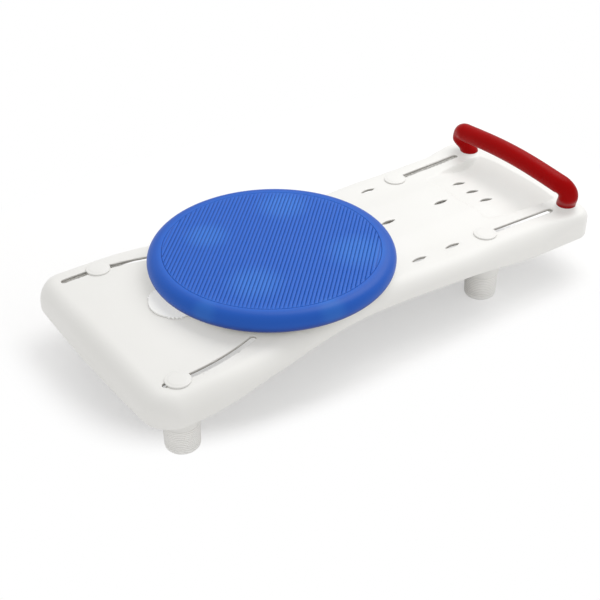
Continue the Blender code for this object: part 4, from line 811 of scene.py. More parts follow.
@dataclass
class Board:
    """The moulded board: top, rolled edge, skirt, openings, ribs and bosses."""

    form: BoardForm = field(default_factory=BoardForm)
    grid_step: float = 7 * MM
    tray_grid_step: float = 3.2 * MM
    roll_steps: int = 12
    drain_length: float = 25 * MM
    drain_width: float = 6.8 * MM
    side_drain_stations: tuple[float, ...] = (79 * MM, 138 * MM)
    side_drain_offset: float = 94.2 * MM
    centre_drain_stations: tuple[float, ...] = (101 * MM, 197.7 * MM)
    tray_drain_station: float = 259 * MM
    tray_drain_pitch: float = 29.6 * MM
    rib_thickness: float = 2.5 * MM
    rib_bottom: float = 79 * MM
    long_rib_offsets: tuple[float, ...] = (18 * MM, 62 * MM)
    cross_rib_stations: tuple[float, ...] = tuple(
        x * MM for x in (-336, -276, -212, -150, -40, 12, 58, 119, 168, 224, 280, 336)
    )
    corridor: float = 26.5 * MM
    leg_limit_x: float = 305 * MM
    disc_x: float = -95 * MM
    boss_radius: float = 18 * MM
    boss_bottom: float = 88 * MM
    bush_hole_radius: float = 7.6 * MM
    track_radii: tuple[float, float] = (57 * MM, 75 * MM)
    track_height: float = 0.6 * MM
    post_x: float = 346 * MM
    post_y: float = 104 * MM
    post_boss_radius: float = 11 * MM
    post_boss_bottom: float = 78 * MM

    def slot_opening(self, stations: Array, place: Callable[[Array], Array], side: int) -> Opening:
        """Opening of one foot slot.

        Args:
            stations: The x of points along its centre line.
            place: The centre line's distance from the middle of the board at an x.
            side: 1 on the far side of the board, -1 on the near side.

        Returns:
            The opening.
        """
        path = np.stack([stations, side * place(stations)], axis=1)
        half = self.form.slot_width / 2
        return Opening(lambda outside: self.form.unbowed(stadium(path, half + outside, 12)))

    def drain_opening(self, x: float, y: float) -> Opening:
        """Opening of one drain hole: two arcs that meet in points, which stay points."""

        def outline(outside: float) -> Array:
            half_length = self.drain_length / 2 + outside
            half_height = self.drain_width / 2 + outside
            radius = (half_length**2 + half_height**2) / (2 * half_height)
            reach = math.asin(half_length / radius)
            turn = np.linspace(reach, -reach, 13)[:-1]
            upper = np.stack(
                [radius * np.sin(turn), radius * np.cos(turn) - radius + half_height], axis=1
            )
            return np.vstack([upper, -upper]) + np.array([x, y])

        return Opening(outline, 0.9 * MM)

    def openings(self) -> list[Opening]:
        """All openings of the top."""
        form = self.form
        half = form.slot_width / 2
        arc = np.linspace(form.arc_ends[0] + half, form.arc_ends[1] - half, 25)
        straight = np.linspace(form.straight_ends[0] + half, form.straight_ends[1] - half, 18)
        found = []
        for side in (1, -1):
            found.append(self.slot_opening(arc, form.arc_slot_y, side))
            found.append(self.slot_opening(straight, form.straight_slot_y, side))
            for x in self.side_drain_stations:
                found.append(self.drain_opening(x, side * self.side_drain_offset))
        for x in self.centre_drain_stations:
            found.append(self.drain_opening(x, 0.0))
        for step in (-1, 0, 1):
            found.append(self.drain_opening(self.tray_drain_station, step * self.tray_drain_pitch))
        return found

    def edge_loops(self, opening: Opening) -> tuple[list[Array], list[float]]:
        """Loops of a rounded edge, from the opening outwards.

        Args:
            opening: The opening.

        Returns:
            The loops, and how far the surface has dropped at each.
        """
        turns = np.radians([90.0, 60.0, 35.0, 15.0, 0.0])
        radius = opening.edge_radius
        outsides = radius * (1.0 - np.sin(turns))
        drops = radius * (1.0 - np.cos(turns))
        loops = [opening.outline(float(outside)) for outside in outsides]
        return loops, [float(drop) for drop in drops]

    def tray_loops(self) -> Array:
        """Points that follow the tray's sides and ridge, so that its edges are crisp."""
        form = self.form
        rows = []
        stations = np.linspace(form.tray_front_x + 0.5 * MM, form.tray_end_x - 1 * MM, 48)
        for inward in (0.0, 1.5, 3.0, 4.5, 6.0):
            y = form.tray_half_width(stations) - inward * MM
            for side in (1, -1):
                rows.append(np.stack([stations, side * y], axis=1))
        for x in (-0.4, 0.0, 1.0, 2.0, 3.2):
            y = np.linspace(-1.0, 1.0, 45) * (form.tray_front_half_width - form.tray_corner_radius)
            rows.append(np.stack([np.full_like(y, form.tray_front_x + x * MM), y], axis=1))
        for x in (-2.4, -0.8, -0.1, 0.1):
            y = np.linspace(-1.0, 1.0, 56) * (form.tray_end_half_width - 1 * MM)
            rows.append(np.stack([np.full_like(y, form.tray_end_x + x * MM), y], axis=1))
        return np.vstack(rows)

    def top_points(self, boundary: Array, loops: Array) -> Array:
        """Grid points of the top, closer together in the tray, clear of other points.

        Args:
            boundary: The top's outer loop.
            loops: Every point that is already placed on openings.

        Returns:
            The points, as rows of x and y.
        """
        form = self.form
        half = form.length / 2
        x = np.arange(-half, half, self.grid_step)
        y = np.arange(-form.wide_half_width, form.wide_half_width, self.grid_step)
        coarse = np.stack(np.meshgrid(x, y, indexing="ij"), axis=-1).reshape(-1, 2)
        margin = 2 * MM
        in_tray = (
            (coarse[:, 0] > form.tray_front_x - margin)
            & (coarse[:, 0] < form.tray_end_x + margin)
            & (np.abs(coarse[:, 1]) < form.tray_half_width(coarse[:, 0]) + margin)
        )
        x = np.arange(form.tray_front_x + margin, form.tray_end_x, self.tray_grid_step)
        limit = form.tray_end_half_width
        y = np.arange(-limit, limit, self.tray_grid_step)
        fine = np.stack(np.meshgrid(x, y, indexing="ij"), axis=-1).reshape(-1, 2)
        fine = fine[np.abs(fine[:, 1]) < form.tray_half_width(fine[:, 0])]
        edges = self.tray_loops()
        fine = fine[nearest_distance(fine, edges) > 1.0 * MM]
        coarse = coarse[~in_tray]
        coarse = coarse[nearest_distance(coarse, edges) > 2.0 * MM]
        points = np.vstack([coarse, fine, edges])
        points = points[inside_polygon(boundary, points)]
        points = points[nearest_distance(points, boundary) > 3.0 * MM]
        return points[nearest_distance(points, loops) > 1.2 * MM]

    def shell(self) -> MeshData:
        """The wall of the board: a top of triangles and rings down to the skirt's edge.

        The top is a height function over its plan. The rolled edge is a quarter ellipse
        carried round the outline, and the inside is the same form one wall further in.

        Returns:
            The closed shell.
        """
        form = self.form
        outline, normals = form.outline(120, 14, 26)
        width = form.roll_width(outline[:, 0])[:, None]
        boundary = outline - normals * width
        openings = self.openings()
        edge_loops = [self.edge_loops(opening) for opening in openings]
        placed = np.vstack([np.vstack(loops) for loops, _ in edge_loops])
        interior = self.top_points(boundary, placed)
        inner = np.vstack([np.vstack(loops[1:]) for loops, _ in edge_loops])
        mouths = [loops[0] for loops, _ in edge_loops]
        plan = np.vstack([boundary, *mouths, inner, interior])
        drops = np.zeros(len(plan))
        start = len(boundary)
        mouth_ids = []
        for loops, loop_drops in edge_loops:
            count = len(loops[0])
            mouth_ids.append(np.arange(start, start + count))
            drops[start : start + count] = loop_drops[0]
            start += count
        for loops, loop_drops in edge_loops:
            for loop, drop in zip(loops[1:], loop_drops[1:]):
                drops[start : start + len(loop)] = drop
                start += len(loop)
        triangles = self.plan_triangles(plan, len(boundary), mouth_ids)
        surface = form.surface(plan[:, 0], plan[:, 1])
        bowed = form.bowed(plan[:, 0], plan[:, 1])
        upper = np.stack([bowed, plan[:, 1], surface - drops], axis=1)
        lower = np.stack([bowed, plan[:, 1], surface - form.wall], axis=1)
        data = MeshData()
        data.add(upper, triangles.tolist())
        below = data.add(lower, triangles[:, ::-1].tolist())
        for ids in mouth_ids:
            beside = np.roll(ids, -1)
            quads = np.stack([ids, ids + below, beside + below, beside], axis=1)
            data.faces += quads[:, ::-1].tolist()
        # Painted shade in the openings: darker down their rounded edges and darkest at the foot of their
        # walls, none elsewhere.
        painted_cavity_shade = np.concatenate([0.35 * drops / drops.max(), np.zeros(len(plan))])
        for ids in mouth_ids:
            painted_cavity_shade[ids + below] = 1.0
        self.add_edge(data, outline, normals, below)
        edge = np.zeros(len(data.points) - len(painted_cavity_shade))
        data.marks["painted_cavity_shade"] = np.concatenate([painted_cavity_shade, edge])
        return data

    def plan_triangles(self, plan: Array, boundary_count: int, mouths: list[Array]) -> Array:
        """Triangles of the top's plan, without those that lie in its openings.

        Args:
            plan: Every point, with the outer loop first.
            boundary_count: How many points the outer loop has.
            mouths: The numbers of the points round each opening.

        Returns:
            The triangles as rows of point numbers, anticlockwise.
        """
        loops = [np.arange(boundary_count), *mouths]
        edges = [
            (int(a), int(b)) for loop in loops for a, b in zip(loop, np.roll(loop, -1))
        ]
        places = [Vector((x, y)) for x, y in (plan / MM).tolist()]
        found = delaunay_2d_cdt(places, edges, [], 1, 0.0001)
        origins = [source[0] if source else -1 for source in found[3]]
        triangles = np.array([[origins[index] for index in face] for face in found[2]])
        a, b, c = plan[triangles[:, 0]], plan[triangles[:, 1]], plan[triangles[:, 2]]
        area = (b[:, 0] - a[:, 0]) * (c[:, 1] - a[:, 1]) - (c[:, 0] - a[:, 0]) * (b[:, 1] - a[:, 1])
        triangles = np.where((area < 0.0)[:, None], triangles[:, ::-1], triangles)
        middle = (a + b + c) / 3.0
        keep = inside_polygon(plan[:boundary_count], middle)
        for mouth in mouths:
            keep &= ~inside_polygon(plan[mouth], middle)
        return triangles[keep]

    def add_edge(self, data: MeshData, outline: Array, normals: Array, below: int) -> None:
        """Add the rolled edge and the skirt, outside and inside, between the two faces.

        Args:
            data: The shell, whose outer loops come first in each face.
            outline: The skirt's outline.
            normals: The outline's outward directions.
            below: The number of the lower face's first vertex.
        """
        form = self.form
        x = outline[:, 0]
        width = form.roll_width(x)
        inner_place = outline - normals * width[:, None]
        top = form.surface(inner_place[:, 0], inner_place[:, 1])
        height = form.roll_height(x)
        bottom = form.skirt_bottom(x)
        turns = np.linspace(0.0, np.pi / 2, self.roll_steps + 1)[1:]
        levels = [(width * (1 - math.sin(t)), top - height * (1 - math.cos(t))) for t in turns]
        zero = np.zeros_like(x)
        side_end = top - height
        for share in (0.5, 1.0):
            levels.append((zero, side_end + (bottom + 2 * form.edge_tuck - side_end) * share))
        for turn in np.radians([30.0, 60.0, 90.0]):
            tuck = form.edge_tuck * (1 - math.cos(turn))
            rise = 2 * form.edge_tuck * (1 - math.sin(turn))
            levels.append((zero + tuck, bottom + rise))
        wall = form.wall
        levels.append((zero + wall, bottom))
        inside = []
        for turn in turns:
            inset = (width - wall) * (1 - math.sin(turn)) + wall
            drop = (height - wall) * (1 - math.cos(turn)) + wall
            inside.append((inset, top - drop))
        levels += inside[::-1]
        count = len(outline)
        rings = []
        for inset, z in levels:
            place = outline - normals * np.asarray(inset)[:, None]
            rings.append(np.stack([form.bowed(place[:, 0], place[:, 1]), place[:, 1], z], axis=1))
        start = data.add(np.vstack(rings), grid_faces(len(rings), count))
        ids = np.arange(count)
        beside = np.roll(ids, -1)
        last = start + (len(rings) - 1) * count
        first_quads = np.stack([ids, start + ids, start + beside, beside], axis=1)
        last_quads = np.stack([last + ids, below + ids, below + beside, last + beside], axis=1)
        data.faces += first_quads.tolist() + last_quads.tolist()

    def rib(self, run: Array, top: Array, across_x: bool, place: float) -> MeshData:
        """An upright rib: a rectangle carried along a line, with its top under the skin.

        Args:
            run: Places along the rib.
            top: The rib's upper edge at each.
            across_x: Whether the rib runs across the board, along Y.
            place: The rib's place along the other axis.

        Returns:
            The closed rib.
        """
        half = self.rib_thickness / 2
        draft = 0.6
        low = np.full_like(run, self.rib_bottom)
        offsets = np.array([half, half * draft, -half * draft, -half])
        heights = np.stack([top, low, low, top], axis=1)
        aside = np.broadcast_to(place + offsets, heights.shape)
        along = np.repeat(run[:, None], 4, axis=1)
        first, second = (aside, along) if across_x else (along, aside)
        points = np.stack([first, second, heights], axis=-1).reshape(-1, 3)
        faces = grid_faces(len(run), 4)
        faces += [[0, 1, 2, 3], [len(points) - 1 - index for index in range(4)]]
        if not across_x:
            faces = [face[::-1] for face in faces]
        return MeshData(points, faces)

    def roof(self, x: Array, y: Array) -> Array:
        """Height within the wall that the ribs reach up to, over the whole plan."""
        form = self.form
        half = form.length / 2
        gap = np.minimum(form.half_width(x) - np.abs(y), np.minimum(half - x, x + half))
        width = form.roll_width(x)
        middle = form.wall / 2
        share = np.clip((gap - middle) / (width - middle), 0.0, 1.0)
        height = form.roll_height(x) - middle
        drop = height * (1 - np.sqrt(1 - (1 - share) ** 2))
        return form.surface(x, y) - middle - drop

    def ribs(self) -> MeshData:
        """Ribs and bosses below the top."""
        form = self.form
        data = MeshData()
        half = form.length / 2 - form.wall / 2
        long_run = np.linspace(-half, half, 121)
        for side in (1, -1):
            for offset in self.long_rib_offsets:
                y = np.full_like(long_run, side * offset)
                roof = np.maximum(self.roof(long_run, y), self.rib_bottom + 0.5 * MM)
                data.join(self.rib(long_run, roof, False, side * offset))
        for x in self.cross_rib_stations:
            wide = form.arc_ends[0] - self.corridor < x < form.arc_ends[1] + self.corridor / 2
            handle = (
                form.straight_ends[0] - self.corridor < x < self.leg_limit_x + self.corridor
            )
            limit = float(form.half_width(np.array(x))) - form.wall / 2
            if wide or handle:
                limit = float(form.lane_y(np.array(x))) - self.corridor
            run = np.linspace(-limit, limit, 61)
            roof = np.maximum(self.roof(np.full_like(run, x), run), self.rib_bottom + 0.5 * MM)
            data.join(self.rib(run, roof, True, x))
        skin = form.top - form.wall / 2
        hole = self.bush_hole_radius
        centre = (self.disc_x, 0.0)
        track_top = form.top + self.track_height
        boss = np.array(
            [(self.boss_radius - 2 * MM, track_top), (self.boss_radius - 2 * MM, skin),
             (self.boss_radius, skin), (self.boss_radius, self.boss_bottom),
             (hole, self.boss_bottom), (hole, track_top)]
        )
        data.join(turned(boss, 48, centre))
        inner, outer = self.track_radii
        low = form.top - form.lane_drop - form.wall / 2
        track = np.array([(outer, track_top), (outer, low), (inner, low), (inner, track_top)])
        data.join(turned(track, 96, centre))
        for side in (1, -1):
            top = form.top - form.lane_drop - form.wall / 2
            bore = 2.8 * MM
            post = np.array(
                [(self.post_boss_radius, top), (self.post_boss_radius, self.post_boss_bottom),
                 (bore, self.post_boss_bottom), (bore, top)]
            )
            data.join(turned(post, 32, (self.post_x, side * self.post_y)))
        return data

    def dress(self, material: bpy.types.Material) -> None:
        """Build the board in its finish, in place of the model's."""
        mesh = build_mesh("board_shell", self.shell())
        add_piece("board_shell", mesh, Body.BOARD.value, material, ("deck",))
        mesh = build_mesh("board_ribs", self.ribs(), 30.0)
        add_piece("board_ribs", mesh, Body.BOARD.value, material)


# The seat


@dataclass
class SeatCover:
    """The blue cover: a ribbed field inside a smooth rolled rim that wraps the core."""

    centre_x: float = -95 * MM
    radius: float = 164 * MM
    rim_radius: float = 13.7 * MM
    rim_bottom: float = 105.2 * MM
    crown: float = 0.8 * MM
    field_radius: float = 143.5 * MM
    pitch: float = 5.0 * MM
    groove_width: float = 1.5 * MM
    groove_depth: float = 1.2 * MM
    angle_degrees: float = 45.4
    core_radius: float = 149.8 * MM
    pocket_top: float = 120.3 * MM
    chord_steps: int = 40

    def top_height(self, radius: Array) -> Array:
        """Height of the cover over the ribs: a shallow dome."""
        middle = self.rim_bottom + 2 * self.rim_radius
        return middle + self.crown * (1.0 - (radius / self.field_radius) ** 2)

    def groove(self, across: Array) -> Array:
        """Share of the groove's depth at a place across the grooves, 0 on the ridges."""
        phase = np.abs((across / self.pitch) - np.round(across / self.pitch)) * self.pitch
        return ease(1.0 - phase / (self.groove_width / 2))

    def rows(self) -> Array:
        """Places across the grooves where a row of vertices lies."""
        half = self.groove_width / 2
        limit = self.field_radius
        lines = np.arange(-math.ceil(limit / self.pitch), math.ceil(limit / self.pitch) + 1)
        offsets = np.array([-half, -half * 0.5, 0.0, half * 0.5, half, self.pitch / 2])
        across = (lines[:, None] * self.pitch + offsets).ravel()
        steep = np.radians(np.arange(75.0, 90.0, 1.5))
        poles = limit * np.sin(np.concatenate([-steep, steep]))
        across = np.sort(np.concatenate([across[np.abs(across) < limit * 0.965], poles]))
        return np.concatenate([[-limit], across, [limit]])

    def data(self) -> MeshData:
        """The cover's closed surface.

        The field is a grid of chords: one row of vertices at each place across the
        grooves, from edge to edge of the ribbed circle. Its edge is carried outwards as
        rings down the rim's half circle and back up the pocket that the core fills.

        Returns:
            The cover, with its painted shade as the groove mark: as deep as the grooves in the field,
            and darker on the rim.
        """
        rows = self.rows()[1:-1]
        steps = self.chord_steps
        share = np.linspace(-1.0, 1.0, steps + 1)
        half = np.sqrt(self.field_radius**2 - rows**2)
        along = half[:, None] * share
        across = np.repeat(rows[:, None], steps + 1, axis=1)
        radius = np.hypot(along, across)
        fade = ease((self.field_radius - radius) / (0.7 * MM))
        depth = self.groove(across) * fade
        z = self.top_height(radius) - self.groove_depth * depth
        points = self.placed(along, across, z)
        data = MeshData()
        data.add(points.reshape(-1, 3), grid_faces(len(rows), steps + 1, closed=False))
        # Painted shade in the grooves, as deep as the groove itself.
        marks = depth.ravel()
        count = len(rows)
        width = steps + 1
        ends = self.placed(
            np.zeros(2), np.array([-1.0, 1.0]) * self.field_radius,
            np.full(2, float(self.top_height(np.array(self.field_radius)))),
        )
        first_pole = data.add(ends, [])
        marks = np.concatenate([marks, np.zeros(2)])
        last = (count - 1) * width
        for index in range(steps):
            data.faces.append([first_pole, index, index + 1])
            data.faces.append([first_pole + 1, last + index + 1, last + index])
        right = np.arange(count) * width + steps
        left = (np.arange(count) * width)[::-1]
        loop = np.concatenate([[first_pole], right, [first_pole + 1], left])
        edge_angle = np.arctan2(
            np.concatenate([[-1.0], rows / self.field_radius, [1.0], (rows / self.field_radius)[::-1]]),
            np.concatenate([[0.0], half / self.field_radius, [0.0], -(half / self.field_radius)[::-1]]),
        )
        rings, ring_painted_shade = self.rim_rings(edge_angle)
        start = data.add(rings.reshape(-1, 3), grid_faces(len(rings), len(loop)))
        ids = np.arange(len(loop))
        beside = np.roll(ids, -1)
        data.faces += np.stack([loop, start + ids, start + beside, loop[beside]], axis=1).tolist()
        floor = start + (len(rings) - 1) * len(loop)
        middle = data.add(np.array([[self.centre_x, 0.0, self.pocket_top]]), [])
        data.faces += np.stack([floor + ids, np.full_like(ids, middle), floor + beside], axis=1).tolist()
        # The groove mark carries the painted shade of field and rim.
        data.marks["groove"] = np.concatenate([marks, ring_painted_shade, [0.0]])
        return data

    def placed(self, along: Array, across: Array, z: Array) -> Array:
        """Turn places along and across the grooves into points of the model's frame."""
        turn = math.radians(self.angle_degrees)
        x = self.centre_x + along * math.cos(turn) - across * math.sin(turn)
        y = along * math.sin(turn) + across * math.cos(turn)
        return np.stack([x, y, z], axis=-1)

    def rim_rings(self, angles: Array) -> tuple[Array, Array]:
        """Rings from the ribbed circle over the rim and into the pocket.

        Args:
            angles: The turn of each point round the circle, from the grooves' direction.

        Returns:
            The rings, and the painted shade of each of their points.
        """
        rim_x = self.radius - self.rim_radius
        middle = self.rim_bottom + self.rim_radius
        edge = float(self.top_height(np.array(self.field_radius)))
        line = 0.9 * MM
        profile = [
            (self.field_radius + line * 0.25, edge - self.groove_depth * 0.7),
            (self.field_radius + line * 0.6, edge - self.groove_depth * 0.8),
            (self.field_radius + line, edge - 0.1 * MM),
            (self.field_radius + line * 1.6, edge),
        ]
        # Painted shade in the line round the field.
        profile_painted_shade = [0.8, 1.0, 0.2, 0.0]
        turns = np.radians(np.linspace(84.0, -90.0, 30))
        profile += [
            (rim_x + self.rim_radius * math.cos(t), middle + self.rim_radius * math.sin(t))
            for t in turns
        ]
        profile += [
            (self.core_radius + 0.6 * MM, self.rim_bottom),
            (self.core_radius, self.rim_bottom + 0.6 * MM),
            (self.core_radius, self.pocket_top),
        ]
        # Painted shade on the rim: 0.3 of the shade colour on its top, growing to 0.95 on its underside.
        profile_painted_shade += (0.3 + 0.65 * ease((np.radians(10.0) - turns) / np.radians(50.0))).tolist()
        profile_painted_shade += [0.0] * (len(profile) - len(profile_painted_shade))
        shape = np.array(profile)
        along = shape[:, 0][:, None] * np.cos(angles)
        across = shape[:, 0][:, None] * np.sin(angles)
        z = np.repeat(shape[:, 1][:, None], len(angles), axis=1)
        marks = np.repeat(np.array(profile_painted_shade)[:, None], len(angles), axis=1)
        return self.placed(along, across, z), marks.ravel()

    def dress(self, material: bpy.types.Material) -> None:
        """Build the cover in its finish, in place of the model's pad."""
        mesh = build_mesh("seat_cover", self.data(), 60.0)
        cover = add_piece("seat_cover", mesh, Body.SEAT.value, material, ("seat_pad",))
        cover.visible_diffuse = False


# The handle


@dataclass
class Handle:
    """The grab handle: a round bar on two short posts that lean out into its elbows."""

    post_x: float = 346 * MM
    half_spacing: float = 104 * MM
    foot_z: float = 97.6 * MM
    post_radius: float = 14.0 * MM
    grip_radius: float = 13.8 * MM
    grip_height: float = 139.0 * MM
    grip_arch: float = 5.5 * MM
    lean: float = 14.0 * MM
    bulge: float = 9.5 * MM
    elbow_radius: float = 16.0 * MM
    segments: int = 64

    def data(self) -> MeshData:
        """The handle's closed surface: round sections carried from foot to foot.

        The sections are level up the posts, turn through the elbows, and stand upright
        along the grip.

        Returns:
            The handle.
        """
        end_z = self.grip_height - self.grip_arch
        elbow_z = end_z - self.elbow_radius
        elbow_y = self.half_spacing + self.bulge - self.elbow_radius
        rise = np.linspace(0.0, 1.0, 16, endpoint=False)
        bend = np.linspace(0.0, 1.0, 24, endpoint=False)
        grip = np.linspace(0.0, 1.0, 30)
        turn = np.pi / 2 * bend
        grip_y = elbow_y * (1 - grip)
        x = np.concatenate(
            [
                self.post_x - self.lean * 0.6 * ease(rise),
                self.post_x - self.lean * (0.6 + 0.4 * ease(bend)),
                np.full_like(grip, self.post_x - self.lean),
            ]
        )
        y = np.concatenate(
            [
                self.half_spacing + self.bulge * ease(rise),
                elbow_y + self.elbow_radius * np.cos(turn),
                grip_y,
            ]
        )
        z = np.concatenate(
            [
                self.foot_z + (elbow_z - self.foot_z) * rise,
                elbow_z + self.elbow_radius * np.sin(turn),
                end_z + self.grip_arch * np.cos(np.pi / 2 * grip_y / elbow_y),
            ]
        )
        radius = np.concatenate(
            [
                np.full_like(rise, self.post_radius),
                self.post_radius + (self.grip_radius - self.post_radius) * bend,
                np.full_like(grip, self.grip_radius),
            ]
        )
        tilt = np.concatenate([np.zeros_like(rise), turn, np.full_like(grip, np.pi / 2)])
        around = np.linspace(0.0, 2 * np.pi, self.segments, endpoint=False)
        across = radius[:, None] * np.cos(around)
        out = radius[:, None] * np.sin(around)
        half = np.stack(
            [
                x[:, None] + across,
                y[:, None] + out * np.cos(tilt)[:, None],
                z[:, None] + out * np.sin(tilt)[:, None],
            ],
            axis=-1,
        )
        mirrored = half[:-1][::-1] * np.array([1.0, -1.0, 1.0])
        rings = np.concatenate([half, mirrored])
        chamfer = rings[[0]].copy()
        centre = np.array([self.post_x, self.half_spacing, 0.0])
        chamfer[0] = centre + (rings[0] - centre) * np.array([0.955, 0.955, 1.0])
        rings[0, :, 2] += 0.6 * MM
        other = chamfer * np.array([1.0, -1.0, 1.0])
        rings[-1, :, 2] += 0.6 * MM
        rings = np.concatenate([chamfer, rings, other])
        data = MeshData()
        data.add(rings.reshape(-1, 3), [face[::-1] for face in grid_faces(len(rings), self.segments)])
        for ring, flip in ((0, False), (len(rings) - 1, True)):
            centre = rings[ring].mean(axis=0)
            pole = data.add(centre[None], [])
            ids = ring * self.segments + np.arange(self.segments)
            beside = ring * self.segments + (np.arange(self.segments) + 1) % self.segments
            fan = np.stack([np.full_like(ids, pole), beside, ids], axis=1)
            data.faces += (fan[:, ::-1] if flip else fan).tolist()
        return data

    def dress(self, material: bpy.types.Material) -> None:
        """Build the handle in its finish, in place of the model's."""
        mesh = build_mesh("grab_handle", self.data(), 50.0)
        grip = add_piece("grab_handle", mesh, Body.BOARD.value, material, ("handle",))
        grip.visible_diffuse = False


# The feet


class FootName(Enum):
    """The four feet and where each stands: its x and its side of the board."""

    NEAR_WIDE = ("near_wide", -317 * MM, -1)
    FAR_WIDE = ("far_wide", -283.9 * MM, 1)
    NEAR_HANDLE = ("near_handle", 195 * MM, -1)
    FAR_HANDLE = ("far_handle", 192.3 * MM, 1)


@dataclass
class Foot:
    """One clamp foot: cap on top, leg below, ribbed sleeve round the leg."""

    name: FootName
    form: BoardForm = field(default_factory=BoardForm)
    cap_radius: float = 16.1 * MM
    cap_low: float = 97.6 * MM
    cap_height: float = 3.0 * MM
    leg_radius: float = 24.0 * MM
    leg_top_radius: float = 13.3 * MM
    leg_top: float = 91.2 * MM
    cone_height: float = 22.0 * MM
    foot_radius: float = 22.9 * MM
    sleeve_height: float = 37.0 * MM
    sleeve_wall: float = 3.0 * MM
    rib_count: int = 11
    rib_depth: float = 0.9 * MM
    rounding: float = 4.5 * MM

    @property
    def centre(self) -> tuple[float, float]:
        """The foot's x and y."""
        _, x, side = self.name.value
        place = self.form.arc_slot_y if x < 0 else self.form.straight_slot_y
        return x, side * float(place(np.array(x)))

    def cap_profile(self) -> Array:
        """Section of the cap: a low dome with a raised ring line and a rounded edge."""
        low, high = self.cap_low, self.cap_low + self.cap_height
        radius = self.cap_radius
        line = 0.80
        share = np.linspace(0.0, line - 0.05, 10)
        dome = np.stack([radius * share, high - 0.45 * MM * (share / line) ** 2], axis=1)
        edge_turn = np.linspace(np.pi / 2, 0.0, 7)
        edge = np.stack(
            [radius - 1.3 * MM + 1.3 * MM * np.cos(edge_turn),
             low + 0.9 * MM + 1.1 * MM * np.sin(edge_turn)],
            axis=1,
        )
        step = [
            (radius * (line - 0.02), high - 0.62 * MM),
            (radius * line, high - 0.80 * MM),
            (radius * (line + 0.03), high - 0.72 * MM),
        ]
        under = [(radius - 0.2 * MM, low), (11.3 * MM, low), (11.3 * MM, low + 1.8 * MM),
                 (0.0, low + 1.8 * MM)]
        return np.vstack([dome, step, edge, under])

    def leg_profile(self) -> Array:
        """Section of the leg: coned head, smooth collar, and the tube inside the sleeve."""
        spigot = self.foot_radius - self.sleeve_wall - CLEARANCE
        inner = spigot - 4 * MM
        shoulder = self.sleeve_height + CLEARANCE
        head_low = self.leg_top - 15 * MM
        edge = np.radians([90.0, 60.0, 30.0, 0.0])
        round_top = [
            (self.leg_radius - 1.5 * MM + 1.5 * MM * math.cos(t),
             self.leg_top - self.cone_height - 1.5 * MM + 1.5 * MM * math.sin(t))
            for t in edge
        ]
        return np.array(
            [
                (self.leg_top_radius - 1 * MM, self.leg_top),
                (self.leg_top_radius, self.leg_top - 0.6 * MM),
                *round_top,
                (self.foot_radius + 1.0 * MM, shoulder + 1.0 * MM),
                (self.foot_radius + 0.2 * MM, shoulder),
                (spigot, shoulder),
                (spigot, 3.3 * MM),
                (inner, 3.3 * MM),
                (inner, head_low),
                (8.1 * MM, head_low),
                (8.1 * MM, head_low + 8.6 * MM),
                (4.3 * MM, head_low + 8.6 * MM),
                (4.3 * MM, self.leg_top),
            ]
        )

    def sleeve_profile(self) -> Array:
        """Section of the sleeve: rounded ribs above a rounded sole, hollow inside."""
        inner = self.foot_radius - self.sleeve_wall
        ribbed = self.sleeve_height - self.rounding - 1.2 * MM
        steps = self.rib_count * 10
        share = np.linspace(0.0, 1.0, steps + 1)
        wave = 0.5 - 0.5 * np.cos(2 * np.pi * self.rib_count * share)
        crest = np.clip(wave * 2.4, 0.0, 1.0)
        taper = 0.7 * MM * (1 - share)
        ribs = np.stack(
            [self.foot_radius - self.rib_depth * (1 - crest) - 0.7 * MM + taper,
             self.sleeve_height - 0.6 * MM - ribbed * share],
            axis=1,
        )
        corner = self.foot_radius - 0.9 * MM - self.rounding
        turn = np.linspace(0.0, np.pi / 2, 9)
        sole = np.stack(
            [corner + self.rounding * np.cos(turn), self.rounding * (1 - np.sin(turn))], axis=1
        )
        return np.vstack(
            [
                [(0.0, 3.0 * MM), (inner, 3.0 * MM), (inner, self.sleeve_height),
                 (self.foot_radius - 1.0 * MM, self.sleeve_height)],
                ribs,
                sole,
                [(0.0, 0.0)],
            ]
        )

    def paint_rib_gap_shade(self, data: MeshData) -> None:
        """Paint shade into the gaps between the sleeve's ribs, deepest in their middle."""
        points = data.points
        radius = np.hypot(points[:, 0] - self.centre[0], points[:, 1] - self.centre[1])
        ribbed = self.sleeve_height - self.rounding - 1.2 * MM
        share = (self.sleeve_height - 0.6 * MM - points[:, 2]) / ribbed
        wave = 0.5 - 0.5 * np.cos(2 * np.pi * self.rib_count * share)
        gap = 1.0 - np.clip(wave * 2.4, 0.0, 1.0)
        outside = (radius > self.foot_radius - 2.2 * MM) & (share > 0.0) & (share < 1.0)
        # Painted shade in the rib gaps, up to 0.3 of the shade colour.
        data.marks["painted_cavity_shade"] = np.where(outside, 0.3 * gap, 0.0)

    def dress(self, plastic: bpy.types.Material, rubber: bpy.types.Material) -> None:
        """Build the foot's cap, leg and sleeve, in place of the model's."""
        label = self.name.value[0]
        centre = self.centre
        cap = build_mesh("cap_" + label, turned(self.cap_profile(), 72, centre), 40.0)
        add_piece(
            "cap_" + label, cap, "foot_" + label, plastic, ("slot_cap_" + label,)
        )
        leg = build_mesh("leg_" + label, turned(self.leg_profile(), 72, centre), 40.0)
        add_piece(
            "leg_" + label, leg, "leg_" + label, plastic, ("leg_tube_" + label,)
        )
        rubber_sleeve = turned(self.sleeve_profile(), 72, centre)
        self.paint_rib_gap_shade(rubber_sleeve)
        sleeve = build_mesh("sleeve_" + label, rubber_sleeve, 60.0)
        add_piece(
            "sleeve_" + label, sleeve, "leg_" + label, rubber,
            ("leg_sleeve_" + label,),
        )


# The studio


